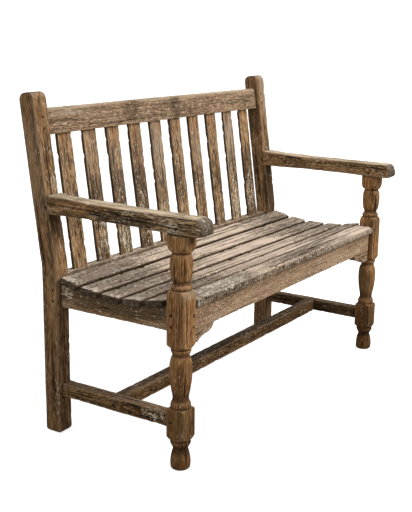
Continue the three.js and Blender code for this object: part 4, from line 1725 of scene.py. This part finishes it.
LEG_PATCHES = {
    Side.LEFT: (
        Patch(STAIN, (-0.58, -0.25, 0.62), (0.03, 0.02, 0.02), 0.8),
        Patch(LICHEN, (-0.61, -0.247, 0.13), (0.014, 0.014, 0.05), 0.6),
        Patch(BARE, (-0.58, -0.24, 0.014), (0.05, 0.05, 0.02), 0.8),
        Patch(ALGAE, (-0.6, -0.22, 0.06), (0.04, 0.05, 0.04), 0.6),
        Patch(BARE, (-0.57, -0.25, 0.56), (0.02, 0.02, 0.04), 0.6),
        Patch(PALE, (-0.585, -0.255, 0.478), (0.06, 0.04, 0.02), 0.7),
        Patch(ALGAE, (-0.6, -0.24, 0.14), (0.06, 0.06, 0.1), 0.75),
        Patch(STAIN, (-0.58, -0.24, 0.1), (0.06, 0.06, 0.14), 0.6),
        Patch(STAIN, (-0.575, -0.25, 0.29), (0.06, 0.06, 0.07), 0.6),
    ),
    Side.RIGHT: (
        Patch(ALGAE, (0.555, -0.22, 0.26), (0.02, 0.04, 0.12), 0.8),
        Patch(ALGAE, (0.555, -0.22, 0.52), (0.02, 0.04, 0.08), 0.7),
        Patch(STAIN, (0.57, -0.24, 0.5), (0.06, 0.06, 0.16), 0.8),
        Patch(STAIN, (0.57, -0.25, 0.1), (0.06, 0.06, 0.16), 0.8),
    ),
}


@dataclass
class Arms(Assembly):
    """The two arms: round at the nose, hollowed under, sagging a little on top."""

    finish: TimberFinish = ARM_FINISH
    nose_top_radius: float = 0.026
    nose_bottom_radius: float = 0.009
    nose_plan_radius: float = 0.007
    thickness: float = 0.046
    rear_rise: float = 0.008
    sag: float = 0.008
    undercut: float = 0.003
    housing: float = 0.002
    first_step: float = 0.003
    step: float = 0.004

    def timbers(self) -> list[Timber]:
        """Both arms."""
        return [self.arm(side) for side in Side]

    def arm(self, side: Side) -> Plank:
        """One arm.

        Args:
            side: Left or right.

        Returns:
            The piece.
        """
        node = side.of("arm")
        low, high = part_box(node)
        leg_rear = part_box(side.of("front_leg"))[1].y
        post_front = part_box(side.of("rear_post"))[0].y
        middle = low.z + self.thickness / 2 - RearPosts.knee
        shoulder = post_front + middle * math.tan(back_lean()) + self.housing
        nose = self.nose_top_radius * (1 - np.cos(np.linspace(0.0, 0.5, 10) * np.pi))
        reach = shoulder - low.y
        body = np.linspace(nose[-1] + self.first_step, reach, round(reach / self.step))
        stations = low.y + np.concatenate([nose, body])
        from_nose = stations - low.y
        past_nose = from_nose - self.nose_top_radius
        share = np.clip(past_nose / (reach - self.nose_top_radius), 0, 1)
        top_line = low.z + self.thickness + self.rear_rise * share - 2 * self.sag * share * (1 - share)
        under = np.clip((stations - leg_rear) / (shoulder - leg_rear), 0, 1)
        bottom_line = low.z + 4 * self.undercut * under * (1 - under)
        outer, inner = side.faces()
        plan = round_over(from_nose, self.nose_plan_radius)
        cracks = (
            Crack(outer, 0.55, 0.28, 0.5, 0.0024, 0.004, 0.004),
            Crack(Face.TOP, 0.3, 0.05, 0.4, 0.0022, 0.003, 0.004),
            *scattered_cracks(71 + side.value, (outer, inner, Face.TOP), 16, 0.2),
        )
        return Plank(
            node, ALONG_Y, stations,
            exposure=Exposure(
                ridge=0.0013, ridge_width=0.0058, wave=0.0020, erosion=0.0020, chips=0.016, pits=0.006,
                arris_spread=0.006, end_reach=0.024,
            ),
            cracks=cracks,
            patches=ARM_PATCHES[side],
            pegs=peg_spots(node, ALONG_Y),
            seed=41 + side.value,
            left=low.x + plan,
            right=high.x - plan,
            bottom=bottom_line + round_over(from_nose, self.nose_bottom_radius),
            top=top_line - round_over(from_nose, self.nose_top_radius),
            radii=(0.003, 0.004, 0.004, 0.003),
            end_round=0.0005,
        )


ARM_PATCHES = {
    Side.LEFT: (
        Patch(BARE, (-0.61, 0.12, 0.66), (0.03, 0.12, 0.04), 1.1),
        Patch(BARE, (-0.61, -0.02, 0.675), (0.01, 0.12, 0.01), 0.8),
        Patch(STAIN, (-0.61, -0.05, 0.645), (0.016, 0.15, 0.03), 1.5),
        Patch(LICHEN, (-0.61, -0.2, 0.65), (0.012, 0.08, 0.03), 0.6),
        Patch(LICHEN, (-0.61, -0.03, 0.64), (0.012, 0.1, 0.02), 0.3),
        Patch(LICHEN, (-0.58, -0.285, 0.66), (0.06, 0.03, 0.04), 1.3),
        Patch(ALGAE, (-0.58, -0.22, 0.68), (0.05, 0.08, 0.012), 0.7),
        Patch(STAIN, (-0.58, 0.02, 0.69), (0.06, 0.2, 0.016), 0.85),
    ),
    Side.RIGHT: (
        Patch(LICHEN, (0.58, -0.2, 0.65), (0.04, 0.1, 0.03), 0.3),
        Patch(PALE, (0.58, -0.05, 0.69), (0.06, 0.3, 0.014), 1.0),
    ),
}


@dataclass
class BackPanel(Assembly):
    """The top rail, the ten back slats and the lower rail, set between the posts."""

    slat_count: int = 10
    step: float = 0.006
    slat_step: float = 0.005

    def finish_of(self, node: str) -> TimberFinish:
        """Rails and slats differ."""
        rail = TOP_RAIL_FINISH if node == "top_rail" else RAIL_FINISH
        return BACK_SLAT_FINISH if node.startswith("back_slat") else rail

    def timbers(self) -> list[Timber]:
        """The rails, then the slats from the left."""
        slats = [self.slat(number) for number in range(1, self.slat_count + 1)]
        return [self.top_rail(), self.lower_rail(), *slats]

    def top_rail(self) -> Plank:
        """The rail across the top, round at its upper front edge.

        Returns:
            The piece.
        """
        rear, upright = leaned_axes(back_lean())
        path = StraightPath((1, 0, 0), rear, upright)
        low, high = limits_of("top_rail", path)
        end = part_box("rear_post_right")[0].x
        return Plank(
            "top_rail", path, stations_between(-end, end, self.step),
            exposure=Exposure(ridge=0.0007, chips=0.008, wave=0.0012),
            cracks=(
                Crack(Face.LEFT, 0.82, 0.1, 0.4, 0.0016, 0.0015, 0.004),
                *scattered_cracks(83, (Face.TOP, Face.RIGHT), 7, 0.3),
            ),
            patches=TOP_RAIL_PATCHES,
            seed=5,
            left=low[1], right=high[1], bottom=low[2], top=high[2],
            radii=(0.002, 0.005, 0.010, 0.002),
        )

    def lower_rail(self) -> Plank:
        """The plumb rail behind the seat.

        Returns:
            The piece.
        """
        low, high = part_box("lower_back_rail")
        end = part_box("rear_post_right")[0].x
        return Plank(
            "lower_back_rail", ALONG_X, stations_between(-end, end, self.step),
            cracks=scattered_cracks(87, (Face.LEFT, Face.TOP, Face.RIGHT), 6, 0.3),
            patches=LOWER_RAIL_PATCHES,
            seed=6,
            left=low.y, right=high.y, bottom=low.z, top=high.z,
            # Painted shade on the rail's front face, under the rear seat slat, and lighter on its rear face
            face_shade=(0.2, 0.0, 0.35, 0.0),
        )

    def slat(self, number: int) -> Plank:
        """One back slat.

        Args:
            number: Its number from the left.

        Returns:
            The piece.
        """
        node = f"back_slat_{number:02d}"
        rear, upright = leaned_axes(back_lean())
        path = StraightPath(upright, (1, 0, 0), rear)
        low, high = limits_of(node, path)
        return Plank(
            node, path, stations_between(low[0], high[0], self.slat_step),
            exposure=Exposure(ridge=0.0006, erosion=0.0010, chips=0.008, arris_spread=0.003),
            cracks=scattered_cracks(91 + number, (Face.BOTTOM, Face.TOP), 4, 0.6),
            patches=slat_patches(number, path, low, high),
            seed=50 + number,
            left=low[1], right=high[1], bottom=low[2], top=high[2],
            radii=(0.0018,) * 4,
            # Painted shade on both sides of each slat, where the slats shade each other, darker on the left
            # side
            face_shade=(0.45, 0.0, 0.7, 0.0),
        )


TOP_RAIL_PATCHES = (
    Patch(ALGAE, (0.1, 0.24, 0.842), (0.5, 0.02, 0.012), 0.7),
    Patch(STAIN, (0.05, 0.25, 0.88), (0.06, 0.04, 0.06), 1.15),
    Patch(STAIN, (-0.18, 0.25, 0.885), (0.08, 0.04, 0.06), 1.0),
    Patch(STAIN, (0.0, 0.25, 0.86), (0.5, 0.06, 0.06), 0.65),
    Patch(STAIN, (0.42, 0.25, 0.87), (0.2, 0.04, 0.05), 0.5),
    Patch(ALGAE, (0.5, 0.25, 0.87), (0.08, 0.04, 0.05), 0.7),
    Patch(PALE, (-0.45, 0.25, 0.9), (0.15, 0.05, 0.02), 0.25),
)

LOWER_RAIL_PATCHES = (
    Patch(PALE, (0.0, 0.2, 0.46), (2.4, 0.2, 0.2), 0.3),
    Patch(STAIN, (-0.1, 0.2, 0.46), (1.6, 0.2, 0.2), 0.7),
    Patch(LICHEN, (-0.3, 0.2, 0.46), (1.2, 0.2, 0.2), 0.6),
)

# Lichen, stain and paleness of each back slat from the left, as strengths
SLAT_LICHEN = (0.2, 0.75, 0.65, 0.55, 0.4, 0.5, 0.45, 0.35, 0.9, 0.55)
SLAT_STAIN = (0.85, 1.2, 1.5, 1.5, 0.8, 0.9, 0.8, 0.9, 0.8, 1.5)
SLAT_PALE = (0.1, 0.3, 0.2, 0.15, 0.6, 0.2, 0.3, 0.05, 0.7, 0.0)


def slat_patches(number: int, path: StraightPath, low: np.ndarray, high: np.ndarray) -> tuple[Patch, ...]:
    """The weathering of one back slat: orange above, stained and crusted below.

    Args:
        number: Its number from the left.
        path: Its grain.
        low: Its lowest along, across and through.
        high: Its highest.

    Returns:
        The patches.
    """
    length = high[0] - low[0]
    reach = (0.05, 0.05, 0.5 * length)
    middle = (0.06, 0.05, 0.36 * length)
    lichen, stain, pale = (row[number - 1] for row in (SLAT_LICHEN, SLAT_STAIN, SLAT_PALE))

    def spot(share: float) -> np.ndarray:
        """A place on the front of the slat, at a share of its length."""
        return path.place(low[0] + share * length, (low[1] + high[1]) / 2, low[2])

    return (
        Patch(LICHEN, spot(0.2), reach, lichen),
        Patch(STAIN, spot(0.45), middle, stain),
        Patch(STAIN, spot(0.05), middle, 0.8 * stain),
        Patch(PALE, spot(0.75), reach, pale),
        Patch(BARE, spot(0.9), (0.05, 0.05, 0.09), 0.65),
    )


@dataclass
class SeatFrame(Assembly):
    """The rails that carry the seat, the middle bearer and the ogee brackets."""

    bracket_steps: int = 60
    curve_steps: int = 12
    step: float = 0.006
    slat_thickness: float = 0.018
    dish_clearance: float = 0.0008
    foot_share: float = 0.32
    thinnest: float = 0.002
    crown_shares: Shares = ((1.0, 0.0), (0.95, 0.5), (0.7, 0.6))
    hollow_shares: Shares = ((0.7, 0.6), (0.42, 0.66), (0.32, 1.0))

    def finish_of(self, node: str) -> TimberFinish:
        """The bearer is out of the weather; the rest are rails."""
        return BEARER_FINISH if node == "seat_bearer" else RAIL_FINISH

    def timbers(self) -> list[Timber]:
        """The front rail, the side rails, the bearer and the brackets.

        Returns:
            The six pieces, in that order.
        """
        rails = [self.side_rail(side) for side in Side]
        brackets = [self.bracket(side) for side in Side]
        return [self.front_rail(), *rails, self.bearer(), *brackets]

    def dish(self, y: np.ndarray) -> np.ndarray:
        """Height of the dished slats' undersides.

        Args:
            y: Places from front to rear.

        Returns:
            The heights.
        """
        boxes = [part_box(f"seat_slat_{number}") for number in range(2, 7)]
        middles = [(low + high) / 2 for low, high in boxes]
        curve = np.polyfit([m.y for m in middles], [m.z for m in middles], 2)
        return np.polyval(curve, y) - self.slat_thickness / 2 - self.dish_clearance

    def front_rail(self) -> Plank:
        """The rail under the front edge of the seat.

        Returns:
            The piece.
        """
        low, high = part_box("front_rail")
        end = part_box("front_leg_right")[0].x
        return Plank(
            "front_rail", ALONG_X, stations_between(-end, end, self.step),
            exposure=Exposure(ridge=0.0005, pits=0.002),
            cracks=(
                Crack(Face.LEFT, 0.5, 0.6, 0.7, 0.0014, 0.001, 0.004),
                *scattered_cracks(101, (Face.RIGHT,), 5, 0.25),
            ),
            patches=FRONT_RAIL_PATCHES,
            seed=7,
            left=low.y, right=high.y, bottom=low.z, top=high.z,
        )

    def side_rail(self, side: Side) -> Plank:
        """A dished rail under the slats' ends.

        Args:
            side: Left or right.

        Returns:
            The piece.
        """
        node = side.of("side_rail")
        low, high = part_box(node)
        stations = leg_to_post(side, self.step)
        return Plank(
            node, ALONG_Y, stations,
            exposure=Exposure(ridge=0.0006, pits=0.003),
            cracks=scattered_cracks(103 + side.value, (Face.LEFT, Face.RIGHT), 4, 0.14),
            patches=SIDE_RAIL_PATCHES[side],
            seed=23 + side.value,
            left=low.x, right=high.x, bottom=low.z, top=np.minimum(self.dish(stations), high.z),
        )

    def bearer(self) -> Plank:
        """The dished bearer under the middle of the seat.

        Returns:
            The piece.
        """
        low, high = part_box("seat_bearer")
        front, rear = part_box("front_rail")[1].y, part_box("lower_back_rail")[0].y
        stations = stations_between(front, rear, self.step)
        return Plank(
            "seat_bearer", ALONG_Y, stations,
            exposure=Exposure(ridge=0.0003),
            seed=9,
            left=low.x, right=high.x, bottom=low.z, top=np.minimum(self.dish(stations), high.z),
        )

    def bracket(self, side: Side) -> Plank:
        """An ogee bracket between the front rail and a leg.

        Args:
            side: Left or right.

        Returns:
            The piece.
        """
        node = side.of("bracket")
        low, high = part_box(node)
        reach, height = high.x - low.x, high.z - low.z
        share, fall = [0.0], [1.0]
        for curve in (self.hollow_shares[::-1], self.crown_shares[::-1]):
            turn = np.linspace(0.0, 1.0, self.curve_steps)[:, None]
            start, middle, end = (np.array(point) for point in curve)
            line = (1 - turn) ** 2 * start + 2 * turn * (1 - turn) * middle + turn**2 * end
            share += line[:, 0].tolist()
            fall += line[:, 1].tolist()
        steps = np.sort(np.concatenate([
            np.linspace(0.0, 1.0, self.bracket_steps), 1 - np.geomspace(0.001, 0.03, 6),
            self.foot_share + np.array([-0.004, 0.004]),
        ]))
        depth = np.maximum(np.interp(steps, share, fall) * height, self.thinnest)
        outward = side.value
        origin = (high.x if side is Side.RIGHT else low.x, 0, 0)
        path = StraightPath((-outward, 0, 0), (0, 1, 0), (0, 0, 1), origin)
        middle = (low.x + high.x) / 2
        return Plank(
            node, path, steps * reach,
            exposure=Exposure(ridge=0.0004),
            cracks=(Crack(Face.LEFT, 0.4, 0.0, 0.5, 0.002, 0.002),),
            patches=(
                Patch(ALGAE, (middle, low.y, low.z), (0.08, 0.03, 0.016), 0.7),
                Patch(STAIN, (middle, low.y, high.z), (0.08, 0.03, 0.05), 0.75),
            ),
            seed=27 + outward,
            left=low.y, right=high.y, bottom=high.z - depth, top=high.z,
            radii=(0.002, 0.001, 0.001, 0.002),
        )


FRONT_RAIL_PATCHES = (
    Patch(BARE, (-0.3, -0.232, 0.41), (0.16, 0.02, 0.03), 0.4),
    Patch(LICHEN, (0.45, -0.232, 0.39), (0.12, 0.02, 0.02), 0.35),
    Patch(LICHEN, (0.1, -0.232, 0.38), (0.3, 0.02, 0.012), 0.45),
)
SIDE_RAIL_PATCHES = {
    Side.LEFT: (
        Patch(LICHEN, (-0.593, 0.15, 0.42), (0.02, 0.06, 0.03), 0.7),
        Patch(LICHEN, (-0.593, -0.08, 0.4), (0.02, 0.05, 0.02), 0.6),
        Patch(STAIN, (-0.593, -0.03, 0.42), (0.02, 0.12, 0.05), 0.9),
        Patch(STAIN, (-0.593, 0.0, 0.42), (0.02, 0.4, 0.06), 1.2),
        Patch(ALGAE, (-0.593, 0.0, 0.4), (0.02, 0.3, 0.06), 0.45),
        Patch(BARE, (-0.593, 0.0, 0.4), (0.02, 0.4, 0.06), 0.9),
    ),
    Side.RIGHT: (),
}


@dataclass
class SeatBoards(Assembly):
    """The front slat between the legs and the five dished slats behind it."""

    finish: TimberFinish = SEAT_SLAT_FINISH
    step: float = 0.006
    end_round: float = 0.0012
    long_round: float = 0.0056
    front_round: float = 0.0036
    deepest_bow: float = 0.0012
    board_count: int = 6

    def timbers(self) -> list[Timber]:
        """The slats from the front."""
        return [self.board(number) for number in range(1, self.board_count + 1)]

    def board(self, number: int) -> Plank:
        """One seat slat.

        Args:
            number: Its number from the front.

        Returns:
            The piece.
        """
        node = f"seat_slat_{number}"
        front = number == 1
        tilt = 0.0 if front else broad_tilt(node)
        rear, upright = leaned_axes(-tilt)
        path = StraightPath((1, 0, 0), rear, upright)
        low, high = limits_of(node, path)
        draw = np.random.default_rng(number)
        stations = stations_between(low[0], high[0], self.step, self.end_round)
        share = (stations - low[0]) / (high[0] - low[0])
        bow = self.deepest_bow * np.sin(np.pi * share) * draw.uniform(-1.0, 0.0)
        return Plank(
            node, path, stations,
            exposure=Exposure(
                ridge=0.0008, ridge_width=0.0055, wave=0.0011, erosion=0.0018, chips=0.015, fray=0.0040,
                arris_spread=0.006,
            ),
            cracks=scattered_cracks(131 + number, (Face.TOP,), 12 if number < 4 else 5, 0.5),
            patches=board_patches(low, high, path, front),
            seed=70 + number,
            left=low[1], right=high[1], bottom=low[2] + bow, top=high[2] + bow,
            radii=(0.002, 0.0026, self.front_round if front else self.long_round, 0.003),
            corner_wear=(0.5, 1.0, 1.3, 0.6),
            # Painted shade on the slats' front and rear faces, in the gaps between them, and on their
            # undersides
            face_shade=(1.0, 0.0, 0.4 if front else 1.0, 0.6),
            end_round=self.end_round,
        )


def board_patches(low: np.ndarray, high: np.ndarray, path: StraightPath, front: bool) -> tuple[Patch, ...]:
    """The weathering of a seat slat: crusted left end, grey beside it, pale right of the middle.

    Args:
        low: Its lowest along, across and through.
        high: Its highest.
        path: Its grain.
        front: Whether it is the slat between the legs.

    Returns:
        The patches.
    """
    middle = (low[1] + high[1]) / 2

    def at(x: float) -> np.ndarray:
        """A place on the top of the slat, from how far right it is."""
        return path.place(x, middle, high[2])

    left, right = low[0] + 0.15, high[0] - 0.15
    return (
        Patch(LICHEN, at(low[0] + 0.01), (0.035, 0.06, 0.03), 0.95),
        Patch(STAIN, at(left), (0.3, 0.08, 0.04), 1.4 if front else 1.1),
        Patch(LICHEN, at(left), (0.2, 0.08, 0.03), 1.0 if front else 0.35),
        Patch(PALE, at(0.4 if front else 0.12), (0.35, 0.08, 0.03), 0.65),
        Patch(STAIN, at(0.1 if front else right), (0.35, 0.08, 0.04), 0.9 if front else 0.8),
        Patch(ALGAE, at(high[0] - 0.02), (0.12, 0.08, 0.03), 0.4),
    )


@dataclass
class Stretchers(Assembly):
    """The two side stretchers and the middle one between them."""

    finish: TimberFinish = STRETCHER_FINISH
    step: float = 0.006

    def timbers(self) -> list[Timber]:
        """Both side stretchers, then the middle one."""
        return [*(self.side_stretcher(side) for side in Side), self.middle()]

    def side_stretcher(self, side: Side) -> Plank:
        """A stretcher from a leg to a post.

        Args:
            side: Left or right.

        Returns:
            The piece.
        """
        node = side.of("side_stretcher")
        low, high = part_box(node)
        return Plank(
            node, ALONG_Y, leg_to_post(side, self.step),
            exposure=Exposure(ridge=0.0006, pits=0.0015),
            cracks=scattered_cracks(151 + side.value, (Face.LEFT, Face.TOP, Face.RIGHT), 7, 0.4),
            patches=STRETCHER_PATCHES[side],
            pegs=peg_spots(node, ALONG_Y),
            seed=33 + side.value,
            left=low.x, right=high.x, bottom=low.z, top=high.z,
        )

    def middle(self) -> Plank:
        """The stretcher along the bench.

        Returns:
            The piece.
        """
        low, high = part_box("middle_stretcher")
        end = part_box("side_stretcher_right")[0].x
        return Plank(
            "middle_stretcher", ALONG_X, stations_between(-end, end, self.step),
            exposure=Exposure(ridge=0.0005),
            cracks=scattered_cracks(157, (Face.LEFT, Face.TOP, Face.RIGHT), 8, 0.3),
            patches=MIDDLE_STRETCHER_PATCHES,
            seed=37,
            left=low.y, right=high.y, bottom=low.z, top=high.z,
        )


STRETCHER_PATCHES = {
    Side.LEFT: (
        Patch(LICHEN, (-0.598, -0.15, 0.135), (0.03, 0.07, 0.03), 0.9),
        Patch(STAIN, (-0.598, 0.16, 0.13), (0.02, 0.05, 0.03), 0.4),
    ),
    # Painted shade on the right stretcher's inner face, under the seat
    Side.RIGHT: (Patch(STAIN, (0.56, 0.0, 0.13), (0.02, 0.4, 0.05), 1.0),),
}
MIDDLE_STRETCHER_PATCHES = (
    Patch(STAIN, (0.0, 0.0, 0.15), (0.9, 0.05, 0.012), 1.0),
    Patch(STAIN, (0.0, -0.02, 0.13), (0.9, 0.02, 0.03), 0.65),
    Patch(BARE, (0.32, -0.021, 0.13), (0.04, 0.02, 0.015), 0.7),
)


@dataclass
class Pegs(Assembly):
    """The round pegs that lock the joints, seen as heads sunk in the faces."""

    finish: TimberFinish = PEG_FINISH
    columns: int = 24
    radius: float = 0.004
    edge: float = 0.0006
    step: float = 0.006

    def timbers(self) -> list[Timber]:
        """Each peg of the model."""
        return [self.peg(name, index) for index, name in enumerate(peg_names())]

    def peg(self, node: str, index: int) -> Turning:
        """One peg.

        Args:
            node: Its name.
            index: Its place in the row of pegs, which picks its grain.

        Returns:
            The piece.
        """
        first, second = peg_ends(node)
        length = float(np.linalg.norm(second - first))
        along = Vector(((second - first) / length).tolist())
        across = along.orthogonal().normalized()
        through = along.cross(across)
        path = StraightPath(tuple(along), tuple(across), tuple(through), tuple(first))
        stations = stations_between(0.0, length, self.step, self.edge)
        inset = np.maximum(round_over(stations, self.edge), round_over(length - stations, self.edge))
        return Turning(
            node, path, stations,
            exposure=Exposure(ridge=0.0001, wave=0.0001, erosion=0.0, fray=0.0004),
            seed=200 + index,
            cap_shares=(0.75, 0.4),
            radius=self.radius - inset,
            half=2 * self.radius,
            columns=self.columns,
        )


@dataclass(frozen=True)
class BenchCamera:
    """A camera at the photograph's place, angle and lens."""

    place: Triple = (-2.45342, -1.51726, 1.13603)
    target: Triple = (-0.05525, 0.05318, 0.42981)
    roll: float = math.radians(0.71)
    lens: float = 65.97
    far: float = 60.0

    def build(self) -> bpy.types.Object:
        """Makes the camera.

        Returns:
            The scene's camera.
        """
        data = bpy.data.cameras.new("bench_camera")
        data.lens = self.lens
        data.clip_end = self.far
        camera = bpy.data.objects.new("bench_camera", data)
        bpy.context.scene.collection.objects.link(camera)
        toward = (Vector(self.target) - Vector(self.place)).normalized()
        turned = toward.to_track_quat("-Z", "Y").to_matrix().to_4x4()
        camera.matrix_world = Matrix.Translation(self.place) @ turned @ Matrix.Rotation(self.roll, 4, "Z")
        bpy.context.scene.camera = camera
        return camera


@dataclass(frozen=True)
class Studio:
    """A plain pale floor under soft light."""

    floor_size: float = 40.0
    floor_drop: float = 0.0005
    floor_colour: Rgba = (0.8, 0.8, 0.8, 1.0)
    floor_glow: float = 0.75
    bounce_colour: Rgba = (0.16, 0.15, 0.14, 1.0)
    sky_colour: Rgba = (1.0, 1.0, 1.0, 1.0)
    sky_seen: float = 1.05
    sky_light: float = 0.72
    key_power: float = 120.0
    key_place: Triple = (1.2, -3.2, 3.4)
    key_size: float = 2.2
    key_target: Triple = (0.0, 0.0, 0.4)

    def build(self) -> None:
        """Makes the floor, the sky and the lamps."""
        self.floor()
        self.sky()
        self.key()
        bpy.context.scene.view_settings.view_transform = "Standard"

    def floor(self) -> None:
        """Lays a floor that looks pale and throws little light back up."""
        half = self.floor_size / 2
        corners = [(-half, -half, 0), (half, -half, 0), (half, half, 0), (-half, half, 0)]
        mesh = bpy.data.meshes.new("floor")
        mesh.from_pydata(corners, [], [(0, 1, 2, 3)])
        floor = bpy.data.objects.new("floor", mesh)
        floor.location.z = cad_bounds[0].z - self.floor_drop
        bpy.context.scene.collection.objects.link(floor)
        made = bpy.data.materials.new("pale_floor")
        sketch = Sketch.blank(made)
        seen = sketch.add("ShaderNodeBsdfDiffuse", {"Color": self.floor_colour}).outputs[0]
        glow = sketch.add("ShaderNodeEmission", {"Strength": self.floor_glow}).outputs[0]
        pale = sketch.add("ShaderNodeAddShader", {0: seen, 1: glow}).outputs[0]
        bounce = sketch.add("ShaderNodeBsdfDiffuse", {"Color": self.bounce_colour}).outputs[0]
        sketch.add("ShaderNodeOutputMaterial", {"Surface": self.either(sketch, bounce, pale)})
        mesh.materials.append(made)

    def either(self, sketch: Sketch, light: Socket, sight: Socket) -> Socket:
        """Lights the scene with one shader and shows the camera another."""
        ray = sketch.add("ShaderNodeLightPath").outputs["Is Camera Ray"]
        return sketch.add("ShaderNodeMixShader", {0: ray, 1: light, 2: sight}).outputs[0]

    def sky(self) -> None:
        """Lights the scene evenly from all round."""
        world = bpy.data.worlds.new("studio_sky")
        bpy.context.scene.world = world
        sketch = Sketch.blank(world)
        light, sight = (
            sketch.add("ShaderNodeBackground", {"Color": self.sky_colour, "Strength": strength}).outputs[0]
            for strength in (self.sky_light, self.sky_seen)
        )
        sketch.add("ShaderNodeOutputWorld", {"Surface": self.either(sketch, light, sight)})

    def key(self) -> None:
        """Hangs one large soft lamp in front of the bench."""
        data = bpy.data.lights.new("key_lamp", "AREA")
        data.energy = self.key_power
        data.size = self.key_size
        lamp = bpy.data.objects.new("key_lamp", data)
        bpy.context.scene.collection.objects.link(lamp)
        lamp.location = self.key_place
        toward = Vector(self.key_target) - Vector(self.key_place)
        lamp.rotation_euler = toward.to_track_quat("-Z", "Y").to_euler()


def main() -> None:
    """Builds and dresses the bench, then the studio and the camera."""
    logging.basicConfig(level=logging.INFO, format="%(message)s")
    finishes = (
        POST_FINISH, LEG_FINISH, ARM_FINISH, TOP_RAIL_FINISH, BACK_SLAT_FINISH, SEAT_SLAT_FINISH,
        RAIL_FINISH, STRETCHER_FINISH, BEARER_FINISH, PEG_FINISH,
    )
    materials = {finish.slot: finish.material() for finish in finishes}
    BenchCamera().build()
    for assembly in (
        RearPosts(), FrontLegs(), Arms(), BackPanel(), SeatFrame(), SeatBoards(), Stretchers(), Pegs(),
    ):
        assembly.build()
        assembly.dress(materials)
        LOG.info("dressed %s: %d pieces", type(assembly).__name__, len(assembly.built))
    Studio().build()


if __name__ == "__main__":
    main()
